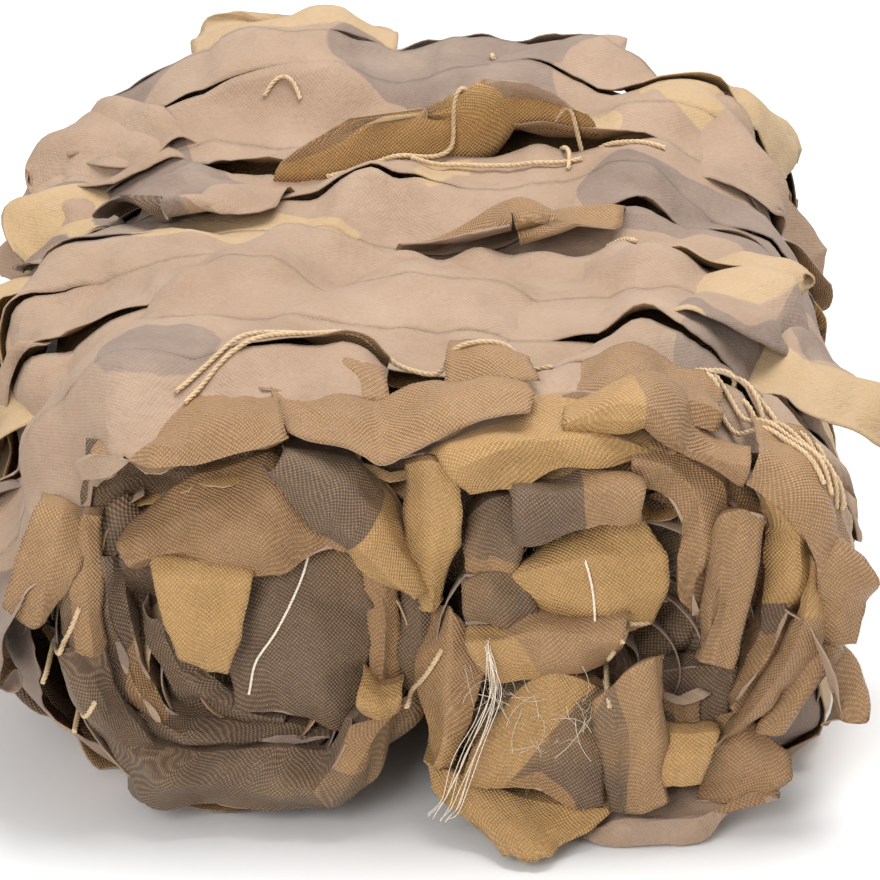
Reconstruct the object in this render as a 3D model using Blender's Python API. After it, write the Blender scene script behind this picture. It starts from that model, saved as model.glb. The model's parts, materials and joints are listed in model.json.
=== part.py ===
"""Camouflage net, folded lengthwise and rolled from both short ends to the middle.

The folded net is one continuous band. Its section is a scroll turned face down: a wound roll on
the left, a wound roll on the right, and the outermost layer carried over the top of both. Cut
leaves of the printed cloth stand off the band, and the netting cords cross its openings.

Units are metres. +Z is up, the rolls lie along Y, and the finished front end faces -Y. Angles
called "turn" start at the top of a roll and grow outwards, over its side and under its belly.
"""
import itertools
import math

import bpy
from mathutils import Vector
from mathutils.bvhtree import BVHTree

# ---- Driving dimensions ------------------------------------------------------------------
LENGTH = 0.330          # along the rolls, which is the width of the net once folded
TURNS = 3.5             # turns of the folded net in each roll
CORE_RADIUS = 0.0115    # outer face of the band at its inner end
PLY_STACK = 0.0082      # thickness of the folded plies in one turn
FLAT_DEPTH = 0.0026     # how far each roll settles to make its flat foot
BRIDGE_DIP = 0.004      # sag of the top layer midway between the rolls
WEDGE = 0.034           # extra depth of the plies that sag into the valley between the rolls
AXIAL_STATIONS = 12     # rings of points from the front end to the back end
PATH_STEP = 0.0145      # spacing of points along the wound path
TURN_STEPS = (14, 32)   # least and greatest step round a roll, in degrees
BRIDGE_STEPS = 7
LEAF_THICKNESS = 0.0012
LEAF_ROWS = 6           # points along a leaf
LEAF_COLUMNS = 7        # points across a leaf
LEAF_ROUNDING = 0.55    # how much shorter a leaf is along its sides than down its middle
LEAF_TAPER = 0.9        # how fast a leaf narrows
STRIP_PITCH = 0.0470    # width of the cut strips along the rolls
STRIP_STEP = 0.0050     # how far the free edge of a strip stands over the next
MEAN_SLACK = 0.0220     # average looseness of the outermost turn
STRIP_WAVER = ((0.010, 21, 0.8), (0.006, 47, 0.0))  # size, waves per metre across x 2 pi, phase
OUTER_ONLY = 12         # power of the wound share that keeps strips and slits to the outermost turn
LOOSE_PLIES = 0.4       # how much thicker the loose outermost plies stand than the tight ones
BELLY = {-1: 0.0130, 1: 0.0026}  # bulge of each roll's outer side at its middle
LUMP_PHASE = {-1: 0.7, 1: 2.3}
LUMPS = ((0.0034, 1.1, 1, 1.0), (0.0022, 2.55, 2, -1.7))  # size, waves along, waves round, phase share
PLY_ENDS = {"front": (0.003, 0.010), "back": (0.004, 0.008)}  # least set back of inner turns, spread
PLY_END_WAVES = 11      # unevenness of those ends along the wound path
CORD_RADIUS = 0.0008    # the netting cord is 1.6 mm twine
CORD_STEPS = 6          # points per stretch of a cord's route
CLEARANCE = 0.0008      # leaves and cords stand this far off the band
SETTLE = 0.0026         # the free part of a leaf comes no nearer to the band
SETTLE_REACH = 0.012    # and this holds within this distance of it
PROBE = 0.020           # the band's face is looked for from this far outside
AXES_STEP = 0.008       # half the stretch over which the band's slope is read

# Each roll: side of the bundle, place of its axis, and radius of the tight roll.
ROLLS = {
    "left": {"side": -1, "axis_x": -0.0480, "radius": 0.0500},
    "right": {"side": 1, "axis_x": 0.0465, "radius": 0.0525},
}

# How much further than the tight roll the loose outermost turn reaches, and how far its end is
# set back from the end of the bundle, round the turn.
OUTER_TURN = (
    # turn, slack on the left, slack on the right, set back at the front, set back at the back
    (0, 0.0270, 0.0240, 0.026, 0.012),
    (45, 0.0270, 0.0220, 0.024, 0.010),
    (90, 0.0200, 0.0120, 0.016, 0.008),
    (135, 0.0080, 0.0060, 0.008, 0.008),
    (180, 0.0000, 0.0000, 0.004, 0.004),
    (225, 0.0000, 0.0000, 0.006, 0.006),
    (270, 0.0000, 0.0000, 0.010, 0.008),
    (315, 0.0080, 0.0080, 0.020, 0.012),
    (360, 0.0270, 0.0240, 0.026, 0.012),
)

# Cut slits that gape on the outside of the band, as long troughs that run round the rolls.
SLITS = (
    # place across, place along, half length round the rolls, half width, depth
    (0.002, -0.116, 0.050, 0.014, 0.0065),
    (0.012, -0.014, 0.062, 0.017, 0.0075),
    (0.030, -0.068, 0.048, 0.012, 0.0045),
    (-0.120, -0.060, 0.060, 0.012, 0.0050),
    (-0.104, 0.020, 0.070, 0.013, 0.0055),
    (0.122, -0.080, 0.055, 0.012, 0.0050),
    (0.128, 0.034, 0.060, 0.013, 0.0055),
    (-0.020, 0.068, 0.066, 0.014, 0.0055),
    (0.030, 0.120, 0.060, 0.012, 0.0045),
)

# Leaves that stand off the band. Place is across the top from the middle and then down the side
# (negative is left), heading is the way it points, from the front (0) towards the right (90).
LEAVES = (
    # name, place across, place along, heading, length, width, lift, curl
    ("leaf_left_shoulder", -0.074, -0.1350, 1, 0.042, 0.070, 22, -86),
    ("leaf_top_front", 0.010, -0.1350, 0, 0.034, 0.058, 22, -86),
    ("leaf_right_shoulder", 0.086, -0.1360, 0, 0.034, 0.050, 20, -74),
    ("leaf_left_front_tip", -0.158, -0.122, -48, 0.034, 0.044, 8, -4),
    ("leaf_left_middle", -0.136, -0.020, -80, 0.034, 0.050, 10, -14),
    ("leaf_left_back", -0.112, 0.105, -96, 0.036, 0.050, 16, -30),
    ("leaf_right_front_tip", 0.170, -0.118, 58, 0.034, 0.044, 4, -10),
    ("leaf_right_middle", 0.148, -0.028, 74, 0.040, 0.046, 12, -16),
    ("leaf_right_back", 0.104, 0.090, 98, 0.038, 0.050, 18, -26),
    ("leaf_back_right_corner", 0.078, 0.122, 128, 0.036, 0.046, 36, -40),
    ("leaf_back_top_left", -0.045, 0.132, 182, 0.034, 0.054, 38, -44),
    ("leaf_back_top_right", 0.030, 0.134, 176, 0.030, 0.046, 36, -46),
    ("leaf_top_opening", 0.020, 0.010, 4, 0.030, 0.056, 24, -34),
    ("leaf_top_left_crest", -0.064, 0.036, -18, 0.032, 0.050, 18, -34),
)

# Netting cords that cross the openings: points are (across, along), from left to right.
CORDS = (
    ("net_cord_front", ((-0.078, -0.122), (-0.040, -0.1265), (0.000, -0.1275), (0.040, -0.1245))),
    ("net_cord_middle_near", ((-0.030, -0.020), (0.004, -0.0235), (0.040, -0.0220), (0.066, -0.012))),
    ("net_cord_middle_far", ((-0.024, -0.012), (0.006, -0.0090), (0.034, -0.0130), (0.052, -0.006))),
    ("net_cord_right_near", ((0.078, -0.098), (0.102, -0.112), (0.124, -0.1205), (0.146, -0.126))),
    ("net_cord_right_far", ((0.080, -0.088), (0.104, -0.100), (0.128, -0.108), (0.150, -0.112))),
)

CLOTH_COLOURS = {
    "brown": (0.23, 0.155, 0.095),
    "tan": (0.42, 0.28, 0.13),
    "grey": (0.17, 0.13, 0.105),
}
CORD_COLOUR = (0.55, 0.42, 0.27)
CLOTH_ROUGHNESS = 0.75
CORD_ROUGHNESS = 0.70


# ---- The wound band ----------------------------------------------------------------------
def smooth(t):
    return t * t * (3 - 2 * t)


def over_foot(turn):
    """1 at the top of a roll, falling to 0 at its foot."""
    return (1 + math.cos(math.radians(turn))) / 2


def outer_turn(turn, column):
    """A column of OUTER_TURN at any turn, smooth between its rows."""
    turn = turn % 360
    for low, high in zip(OUTER_TURN, OUTER_TURN[1:]):
        if low[0] <= turn <= high[0]:
            share = smooth((turn - low[0]) / (high[0] - low[0]))
            return low[column] + (high[column] - low[column]) * share
    return OUTER_TURN[0][column]


def lump(side, turn, y):
    """The unevenness of the loose outer turn. It dies away towards the foot of the roll."""
    along = y / LENGTH + 0.5
    angle = math.radians(turn)
    swell = sum(size * math.sin(2 * math.pi * waves * along + share * LUMP_PHASE[side] + round_waves * angle)
                for size, waves, round_waves, share in LUMPS)
    belly = BELLY[side] * math.sin(math.pi * along) * max(0.0, math.sin(angle))
    above = over_foot(turn)
    return swell * above + belly * smooth(min(1.0, above * 2))


def shingle(across, y):
    """The step of each cut strip over the next, as a saw tooth along the rolls."""
    waver = sum(size * math.sin(waves * across + phase) for size, waves, phase in STRIP_WAVER)
    share = ((y + waver) / STRIP_PITCH) % 1
    return STRIP_STEP * (0.5 - share)


def trough(across, y):
    """Depth of the gaping slits at a place on the outside."""
    depth = 0.0
    for slit_across, slit_y, half_length, half_width, slit_depth in SLITS:
        off = ((across - slit_across) / half_length) ** 2 + ((y - slit_y) / half_width) ** 2
        depth = max(depth, slit_depth * max(0.0, 1 - off))
    return depth


def relief(across, y):
    return shingle(across, y) - trough(across, y)


def across_at(roll, turn):
    """Distance over the top and round the side to a turn of the outermost layer."""
    return roll["side"] * (abs(roll["axis_x"]) + math.radians(turn) * (roll["radius"] + MEAN_SLACK))


def plain_reach(roll, turn, wound, y):
    """Distance from the roll's axis to the band's outer face. wound runs from 0 at the core to 1."""
    tight = CORE_RADIUS + (roll["radius"] - CORE_RADIUS) * wound
    slack = outer_turn(turn, 1 if roll["side"] < 0 else 2)
    return tight + (slack + lump(roll["side"], turn, y)) * wound ** 2


def reach(roll, turn, wound, y):
    """The same, with the strips and slits of the outermost turn, which fade towards its foot."""
    fade = over_foot(turn) * wound ** OUTER_ONLY
    return plain_reach(roll, turn, wound, y) + relief(across_at(roll, turn % 360), y) * fade


def band_thickness(turn, wound):
    loose = outer_turn(turn, 1) / OUTER_TURN[0][1]
    return PLY_STACK * (1 + LOOSE_PLIES * loose * wound ** 2)


def axis_height(roll):
    """Height of the roll's axis when its belly has settled to a flat foot."""
    foot_wound = 1 - 0.5 / TURNS
    return CORE_RADIUS + (roll["radius"] - CORE_RADIUS) * foot_wound - FLAT_DEPTH


def roll_point(roll, turn, radius):
    angle = math.radians(turn)
    height = axis_height(roll) + radius * math.cos(angle)
    return roll["axis_x"] + roll["side"] * radius * math.sin(angle), max(0.0, height)


def end_places(turn, wound, phase):
    """Where the band starts and stops along Y: inner turns stand proud, the outer one sits back."""
    ripple = 0.5 + 0.5 * math.sin(PLY_END_WAVES * wound + phase)
    share = wound ** 4
    front, front_spread = PLY_ENDS["front"]
    back, back_spread = PLY_ENDS["back"]
    front = (front + front_spread * ripple) * (1 - share) + outer_turn(turn, 3) * share
    back = (back + back_spread * (1 - ripple)) * (1 - share) + outer_turn(turn, 4) * share
    return -LENGTH / 2 + front, LENGTH / 2 - back


def wound_steps(roll):
    """Shares of the wound path from the core to the top of the roll, about PATH_STEP apart."""
    steps = [0.0]
    while steps[-1] < 1:
        turn = (1 - steps[-1]) * TURNS * 360
        step = math.degrees(PATH_STEP / plain_reach(roll, turn, steps[-1], 0))
        steps.append(steps[-1] + min(max(step, TURN_STEPS[0]), TURN_STEPS[1]) / (TURNS * 360))
    return [s / steps[-1] for s in steps]


def roll_station(roll, wound, along):
    """The outer and inner points of the band in one roll, at one place along Y."""
    turn = (1 - wound) * TURNS * 360
    front, back = end_places(turn, wound, roll["side"])
    y = front + (back - front) * along
    radius = reach(roll, turn, wound, y)
    faces = (radius, radius - band_thickness(turn, wound))
    return [Vector((x, y, z)) for x, z in (roll_point(roll, turn, r) for r in faces)]


def bridge_height(share, y):
    """Height of the layer that crosses from roll to roll, at a share of the way over."""
    left, right = (roll_point(r, 0, plain_reach(r, 0, 1, y)) for r in ROLLS.values())
    x = left[0] + (right[0] - left[0]) * share
    dip = BRIDGE_DIP * math.sin(math.pi * share) ** 2
    return Vector((x, y, left[1] + (right[1] - left[1]) * smooth(share) - dip + relief(x, y)))


def bridge_station(share, along):
    """The outer and inner points of the layer that crosses from roll to roll."""
    front, back = end_places(0, 1, 0)
    outer = bridge_height(share, front + (back - front) * along)
    depth = band_thickness(0, 1) + WEDGE * math.sin(math.pi * share) ** 3
    return [outer, outer - Vector((0, 0, depth))]


def stations(along):
    left = [roll_station(ROLLS["left"], s, along) for s in wound_steps(ROLLS["left"])]
    across = [bridge_station(i / BRIDGE_STEPS, along) for i in range(1, BRIDGE_STEPS)]
    right = [roll_station(ROLLS["right"], s, along) for s in wound_steps(ROLLS["right"])]
    return left + across + right[::-1]


def closed_mesh(name, points, faces, material):
    mesh = bpy.data.meshes.new(name)
    mesh.from_pydata([tuple(p) for p in points], [], faces)
    mesh.materials.append(material)
    mesh.validate()
    obj = bpy.data.objects.new(name, mesh)
    bpy.context.scene.collection.objects.link(obj)
    return obj


def two_faced_grid(outer, inner):
    """Points and triangles of a closed solid between two grids of points, outer[i][j], inner[i][j]."""
    rows, columns = len(outer), len(outer[0])
    points = [p for row in outer for p in row] + [p for row in inner for p in row]
    half = rows * columns

    def at(i, j):
        return i * columns + j

    faces = []
    for i in range(rows - 1):
        for j in range(columns - 1):
            corners = (at(i, j), at(i + 1, j), at(i + 1, j + 1), at(i, j + 1))
            for a, b, c in (corners[:3], (corners[0], *corners[2:])):
                faces.append((a, b, c))
                faces.append((half + c, half + b, half + a))
    rim = [at(i, 0) for i in range(rows)]
    rim += [at(rows - 1, j) for j in range(1, columns)]
    rim += [at(i, columns - 1) for i in range(rows - 2, -1, -1)]
    rim += [at(0, j) for j in range(columns - 2, 0, -1)]
    for a, b in zip(rim, rim[1:] + rim[:1]):
        faces.append((b, a, half + a))
        faces.append((b, half + a, half + b))
    return points, faces


def wound_net(material):
    rings = [stations(j / (AXIAL_STATIONS - 1)) for j in range(AXIAL_STATIONS)]
    outer = [[ring[i][0] for ring in rings] for i in range(len(rings[0]))]
    inner = [[ring[i][1] for ring in rings] for i in range(len(rings[0]))]
    return closed_mesh("wound_net", *two_faced_grid(outer, inner), material)


# ---- Places on the outside of the bundle -------------------------------------------------
def on_wrap(across, y, lift):
    """A point on the outside: across is measured over the top and on round each side."""
    roll = ROLLS["left" if across < 0 else "right"]
    turn = math.degrees((abs(across) - abs(roll["axis_x"])) / (roll["radius"] + MEAN_SLACK))
    if turn > 0:
        x, z = roll_point(roll, turn, reach(roll, turn, 1, y) + lift)
        return Vector((x, y, z))
    left_x, right_x = (r["axis_x"] for r in ROLLS.values())
    return bridge_height((across - left_x) / (right_x - left_x), y) + Vector((0, 0, lift))


def wrap_axes(across, y):
    """The directions at a place on the outside: onwards to the right, and outwards."""
    right = (on_wrap(across + AXES_STEP, y, 0) - on_wrap(across - AXES_STEP, y, 0)).normalized()
    return right, right.cross(Vector((0, 1, 0))).normalized()


def on_band(surface, across, y, lift):
    """The same place found on the band's own faces, with the exact gap to them."""
    outward = wrap_axes(across, y)[1]
    start = on_wrap(across, y, 0) + outward * PROBE
    hit = surface.ray_cast(start, -outward)[0]
    return (hit or on_wrap(across, y, 0)) + outward * lift


def kept_clear(surface, point):
    """The point, moved out where it would come nearer to the band than its clearance."""
    place, normal = surface.find_nearest(point)[:2]
    short = SETTLE - (point - place).dot(normal)
    near = (point - place).length < SETTLE_REACH
    return point + normal * short if near and short > 0 else point


# ---- Leaves ------------------------------------------------------------------------------
def leaf_sides(surface, gap, across, y, heading, length, width, lift, curl):
    """The under and top grids of points of a leaf whose base stands a gap off the band."""
    turn = math.radians(heading)
    right, outward = wrap_axes(across, y)
    ahead = right * math.sin(turn) - Vector((0, 1, 0)) * math.cos(turn)
    sideways = right * math.cos(turn) + Vector((0, 1, 0)) * math.sin(turn)
    angles = [math.radians(lift + curl * i / LEAF_ROWS) for i in range(LEAF_ROWS)]
    under, top = [], []
    for j in range(LEAF_COLUMNS):
        share = 2 * j / (LEAF_COLUMNS - 1) - 1
        side_step = share * width / 2
        step = length * (1 - LEAF_ROUNDING * share ** 2) / (LEAF_ROWS - 1)
        base_y = y + side_step * math.sin(turn)
        column = [on_band(surface, across + side_step * math.cos(turn), base_y, gap)]
        for i in range(1, LEAF_ROWS):
            way = ahead * math.cos(angles[i]) + outward * math.sin(angles[i])
            inward = sideways * (side_step * LEAF_TAPER * i / LEAF_ROWS ** 2)
            column.append(kept_clear(surface, column[-1] + way * step - inward))
        skins = [outward * math.cos(a) - ahead * math.sin(a) for a in angles]
        under.append(column)
        top.append([p + s * LEAF_THICKNESS for p, s in zip(column, skins)])
    return under, top


def leaf(surface, name, *place, material):
    """A cut leaf: its base follows the band, and it lifts and curls along its length."""
    gap = CLEARANCE
    points, faces = two_faced_grid(*leaf_sides(surface, gap, *place))
    while BVHTree.FromPolygons(points, faces).overlap(surface):
        gap += CLEARANCE / 2
        points, faces = two_faced_grid(*leaf_sides(surface, gap, *place))
    return closed_mesh(name, points, faces, material)


# ---- Netting cords -----------------------------------------------------------------------
def smooth_route(points, steps):
    """Points on a smooth curve through the route's own points."""
    ends = [2 * points[0] - points[1]] + list(points) + [2 * points[-1] - points[-2]]
    route = []
    for a, b, c, d in zip(ends, ends[1:], ends[2:], ends[3:]):
        for k in range(steps):
            t = k / steps
            route.append(0.5 * (2 * b + (c - a) * t + (2 * a - 5 * b + 4 * c - d) * t ** 2
                                + (3 * b - a - 3 * c + d) * t ** 3))
    return route + [points[-1]]


def net_cord(surface, name, places, material):
    """A stretch of netting cord that lies on the band."""
    route = smooth_route([Vector(p) for p in places], CORD_STEPS)
    curve = bpy.data.curves.new(name, "CURVE")
    curve.dimensions = "3D"
    curve.bevel_depth = CORD_RADIUS
    curve.bevel_resolution = 2
    curve.use_fill_caps = True
    curve.materials.append(material)
    spline = curve.splines.new("POLY")
    spline.points.add(len(route) - 1)
    for point, (across, y) in zip(spline.points, route):
        point.co = (*on_band(surface, across, y, CLEARANCE + CORD_RADIUS), 1)
    obj = bpy.data.objects.new(name, curve)
    bpy.context.scene.collection.objects.link(obj)
    return obj


# ---- Materials and assembly --------------------------------------------------------------
def finish(name, colour, roughness):
    material = bpy.data.materials.new(name)
    material.use_nodes = True
    shader = material.node_tree.nodes["Principled BSDF"]
    shader.inputs["Base Color"].default_value = (*colour, 1)
    shader.inputs["Roughness"].default_value = roughness
    shader.inputs["Metallic"].default_value = 0
    return material


def centre_on_base():
    """Moves everything so that the origin is under the middle of the whole bundle."""
    bpy.context.view_layer.update()
    graph = bpy.context.evaluated_depsgraph_get()
    corners = []
    for obj in bpy.data.objects:
        mesh = obj.evaluated_get(graph).to_mesh()
        corners += [vertex.co.copy() for vertex in mesh.vertices]
    low = [min(p[k] for p in corners) for k in range(2)]
    high = [max(p[k] for p in corners) for k in range(2)]
    for obj in bpy.data.objects:
        obj.location -= Vector(((low[0] + high[0]) / 2, (low[1] + high[1]) / 2, 0))


def main():
    for obj in list(bpy.data.objects):
        bpy.data.objects.remove(obj)
    cloths = {
        key: finish("cloth_" + key, colour, CLOTH_ROUGHNESS) for key, colour in CLOTH_COLOURS.items()
    }
    band = wound_net(cloths["brown"])
    surface = BVHTree.FromPolygons([v.co for v in band.data.vertices],
                                   [tuple(p.vertices) for p in band.data.polygons])
    for row, cloth in zip(LEAVES, itertools.cycle(cloths.values())):
        leaf(surface, *row, material=cloth)
    cord_finish = finish("netting_cord", CORD_COLOUR, CORD_ROUGHNESS)
    for name, places in CORDS:
        net_cord(surface, name, places, cord_finish)
    centre_on_base()


main()
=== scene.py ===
"""Looks for the rolled camouflage net: printed cloth, netting twine, stitches and frayed edges."""
import json
import math

import bpy
import numpy as np
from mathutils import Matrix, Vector
from mathutils.bvhtree import BVHTree

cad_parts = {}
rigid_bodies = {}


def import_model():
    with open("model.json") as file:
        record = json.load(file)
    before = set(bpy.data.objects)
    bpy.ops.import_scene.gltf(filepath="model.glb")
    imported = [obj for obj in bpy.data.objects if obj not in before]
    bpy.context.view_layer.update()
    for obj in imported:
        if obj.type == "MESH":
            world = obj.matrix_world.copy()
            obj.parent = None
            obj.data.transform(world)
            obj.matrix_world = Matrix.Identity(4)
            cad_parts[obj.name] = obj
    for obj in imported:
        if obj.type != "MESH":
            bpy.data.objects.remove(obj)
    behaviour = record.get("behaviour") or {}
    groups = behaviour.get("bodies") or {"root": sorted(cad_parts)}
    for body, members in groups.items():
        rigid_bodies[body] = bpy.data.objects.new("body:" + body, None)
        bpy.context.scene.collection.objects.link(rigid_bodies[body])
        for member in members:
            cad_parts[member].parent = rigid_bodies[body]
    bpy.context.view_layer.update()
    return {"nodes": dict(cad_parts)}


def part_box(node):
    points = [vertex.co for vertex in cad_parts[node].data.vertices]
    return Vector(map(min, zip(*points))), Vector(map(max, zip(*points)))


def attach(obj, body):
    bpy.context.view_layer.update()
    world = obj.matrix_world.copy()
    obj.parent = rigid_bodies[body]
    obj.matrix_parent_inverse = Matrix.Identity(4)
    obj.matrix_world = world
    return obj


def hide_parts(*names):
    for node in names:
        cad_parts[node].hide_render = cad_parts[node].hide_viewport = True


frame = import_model()

# ---- Camera, floor and light ---------------------------------------------------------------
# A plain pale floor and a large soft light overhead, as on a studio table. The camera looks at
# the finished front end from a little above.
NET_LOW, NET_HIGH = (Vector(corner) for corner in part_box("wound_net"))
FRONT, BACK = NET_LOW.y, NET_HIGH.y
CENTRE_X = 0.0065
CAMERA_BACK = 1.2162
CAMERA_UP = 0.5853
CAMERA_DOWN_TILT = 21.175

camera = bpy.data.objects.new("camera", bpy.data.cameras.new("camera"))
camera.data.lens = 206.8
camera.data.sensor_width = 36
camera.location = (CENTRE_X, FRONT - CAMERA_BACK, CAMERA_UP)
camera.rotation_euler = (math.radians(90 - CAMERA_DOWN_TILT), 0, 0)
bpy.context.scene.collection.objects.link(camera)
bpy.context.scene.camera = camera


class Shade:
    """A shader socket that takes part in Python expressions."""

    def __init__(self, tree, socket):
        self.tree = tree
        self.socket = socket

    def math(self, operation, *others):
        node = self.tree.nodes.new("ShaderNodeMath")
        node.operation = operation
        for slot, value in zip(node.inputs, (self, *others)):
            connect(self.tree, slot, value)
        return Shade(self.tree, node.outputs[0])

    def __add__(self, other):
        return self.math("ADD", other)

    def __radd__(self, other):
        return self.math("ADD", other)

    def __mul__(self, other):
        return self.math("MULTIPLY", other)

    def __rmul__(self, other):
        return self.math("MULTIPLY", other)

    def __sub__(self, other):
        return self.math("SUBTRACT", other)

    def __rsub__(self, other):
        return (self * -1) + other

    def __truediv__(self, other):
        return self.math("DIVIDE", other)

    def __pow__(self, other):
        return self.math("POWER", other)


def connect(tree, slot, value):
    """Links a shade to a node's socket, or sets the socket's own value."""
    if isinstance(value, Shade):
        tree.links.new(value.socket, slot)
    else:
        slot.default_value = value


def node(tree, kind, settings=None, output=0, **inputs):
    """Adds a node: its settings first, then its inputs by name, and gives one output back."""
    made = tree.nodes.new(kind)
    for name, value in (settings or {}).items():
        setattr(made, name, value)
    for name, value in inputs.items():
        connect(tree, made.inputs[name.replace("_", " ")], value)
    return Shade(tree, made.outputs[output])


def mixed(tree, factor, first, second):
    """A colour between two colours."""
    made = tree.nodes.new("ShaderNodeMix")
    made.data_type = "RGBA"
    for slot, value in ((0, factor), (6, first), (7, second)):
        connect(tree, made.inputs[slot], value)
    return Shade(tree, made.outputs[2])


def new_material(name):
    """An empty material with one Principled shader, and that shader."""
    material = bpy.data.materials.new(name)
    material.use_nodes = True
    return material, material.node_tree, material.node_tree.nodes["Principled BSDF"]


FLOOR_TONE = (0.86, 0.86, 0.86, 1)
FLOOR_HALF = 6.0
ROOM_LIGHT = 0.62
floor_material, _, floor_shader = new_material("pale_floor")
floor_shader.inputs["Base Color"].default_value = FLOOR_TONE
floor_shader.inputs["Roughness"].default_value = 0.9
floor_mesh = bpy.data.meshes.new("floor")
floor_corners = [(x * FLOOR_HALF, y * FLOOR_HALF, 0) for x, y in ((-1, -1), (1, -1), (1, 1), (-1, 1))]
floor_mesh.from_pydata(floor_corners, [], [(0, 1, 2, 3)])
floor_mesh.materials.append(floor_material)
floor = bpy.data.objects.new("floor", floor_mesh)
bpy.context.scene.collection.objects.link(floor)

world = bpy.data.worlds.new("studio")
world.use_nodes = True
world.node_tree.nodes["Background"].inputs["Color"].default_value = (1, 1, 1, 1)
world.node_tree.nodes["Background"].inputs["Strength"].default_value = ROOM_LIGHT
bpy.context.scene.world = world
bpy.context.scene.view_settings.view_transform = "Standard"

# Each light: place, what it points at, side and power.
LIGHTS = (
    ("key_light", (0.25, 0.15, 1.5), (0, 0, 0), 1.0, 24),
    ("front_light", (-0.7, -1.8, 1.0), (0, -0.1, 0.05), 0.9, 23),
)
for name, place, aim, size, power in LIGHTS:
    lamp = bpy.data.lights.new(name, "AREA")
    lamp.size = size
    lamp.energy = power
    light = bpy.data.objects.new(name, lamp)
    light.location = place
    light.rotation_euler = (Vector(aim) - Vector(place)).to_track_quat("-Z", "Y").to_euler()
    bpy.context.scene.collection.objects.link(light)


# ---- Printed scrim cloth: material -----------------------------------------------------------
# Coarse polyester oxford, printed in tan, brown and grey-brown. The printed side is dusty and matt; the other
# side is coated, more golden, and its threads catch the light. That light on the weave is painted into the
# colour: painted shade in its hollows and painted highlights on its thread tops.
THREAD = 0.00060
PRINT = {"brown": (0.330, 0.220, 0.148), "tan": (0.440, 0.300, 0.158), "grey": (0.200, 0.142, 0.112)}
COATED = {"brown": (0.300, 0.160, 0.066), "tan": (0.440, 0.245, 0.078), "grey": (0.104, 0.060, 0.034)}
# Painted highlight: the pale tone that the weave's raised threads are mixed towards, as if lit.
THREAD_HIGHLIGHT_TONE = (0.56, 0.37, 0.20, 1)
GOLD_TONE = (0.36, 0.20, 0.075, 1)
DUST_TONE = (0.43, 0.33, 0.25, 1)
PRINT_EDGE = 0.035
PRINT_WANDER = 0.30


def threshold(tree, value, width):
    """From 0 to 1 across a narrow band round zero."""
    return node(tree, "ShaderNodeMapRange", {"interpolation_type": "SMOOTHSTEP"},
                Value=value, From_Min=-width, From_Max=width)


def cloth_material(name, colours, roughness, dust, weave_shade, weave_height, coat, thread_highlights, gold):
    """Printed cloth. Masks come from the piece's print attributes, the weave from its cut map."""
    material, tree, shader = new_material(name)
    cut = node(tree, "ShaderNodeUVMap", {"uv_map": "cut"})
    place = node(tree, "ShaderNodeTexCoord", output=3)
    wobble = node(tree, "ShaderNodeTexNoise", Vector=cut, Scale=90.0, Detail=3.0) - 0.5
    grain = node(tree, "ShaderNodeTexNoise", Vector=cut, Scale=700.0, Detail=2.0)
    mottle = node(tree, "ShaderNodeTexNoise", Vector=place, Scale=34.0, Detail=4.0, Roughness=0.62)
    stain = node(tree, "ShaderNodeTexNoise", Vector=place, Scale=9.0, Detail=3.0)
    tan_field = node(tree, "ShaderNodeAttribute", {"attribute_name": "tan"}, 2)
    grey_field = node(tree, "ShaderNodeAttribute", {"attribute_name": "grey"}, 2)
    tan = threshold(tree, tan_field + wobble * PRINT_WANDER, PRINT_EDGE)
    grey = threshold(tree, grey_field + wobble * PRINT_WANDER, PRINT_EDGE)
    colour = mixed(tree, grey, (*colours["brown"], 1), (*colours["grey"], 1))
    colour = mixed(tree, tan, colour, (*colours["tan"], 1))
    split = tree.nodes.new("ShaderNodeSeparateXYZ")
    connect(tree, split.inputs[0], cut)
    u, v = (Shade(tree, split.outputs[k]) for k in range(2))
    warp = (u * (math.pi / THREAD)).math("SINE")
    weft = (v * (math.pi / THREAD)).math("SINE")
    weave = ((warp * weft * 0.5 + 0.5) ** 1.7) * (grain * 0.9 + 0.75)
    worn = node(tree, "ShaderNodeTexNoise", Vector=place, Scale=22.0, Detail=3.0)
    golden = node(tree, "ShaderNodeMapRange", Value=worn, From_Min=0.50, From_Max=0.72)
    colour = mixed(tree, golden * gold, colour, GOLD_TONE)
    # Painted highlight: the weave's thread tops mixed towards a pale tone.
    colour = mixed(tree, weave * thread_highlights, colour, THREAD_HIGHLIGHT_TONE)
    dusty = node(tree, "ShaderNodeMapRange", Value=mottle * 0.6 + stain * 0.4, From_Min=0.36, From_Max=0.64)
    colour = mixed(tree, dusty * dust, colour, DUST_TONE)
    # Painted shade and highlight: the colour is darkened in the weave's hollows and lightened on its thread
    # tops; the mottle and grain factors are random tone.
    light = (weave * weave_shade + (1 - weave_shade * 0.40)) * (mottle * 0.30 + 0.85) * (grain * 0.16 + 0.92)
    scaled = node(tree, "ShaderNodeVectorMath", {"operation": "SCALE"}, Vector=colour, Scale=light)
    connect(tree, shader.inputs["Base Color"], scaled)
    connect(tree, shader.inputs["Roughness"], roughness + (1 - weave) * 0.14 - 0.06)
    shader.inputs["Coat Weight"].default_value = coat
    shader.inputs["Coat Roughness"].default_value = 0.45
    shader.inputs["Specular IOR Level"].default_value = 0.32
    shader.inputs["Sheen Weight"].default_value = 0.05
    fine = node(tree, "ShaderNodeTexNoise", Vector=cut, Scale=160.0, Detail=4.0, Roughness=0.6)
    ripple = node(tree, "ShaderNodeBump", Strength=0.55, Distance=0.0022, Height=fine)
    bump = node(tree, "ShaderNodeBump", Strength=1.0, Distance=weave_height, Height=weave, Normal=ripple)
    connect(tree, shader.inputs["Normal"], bump)
    return material


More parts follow.
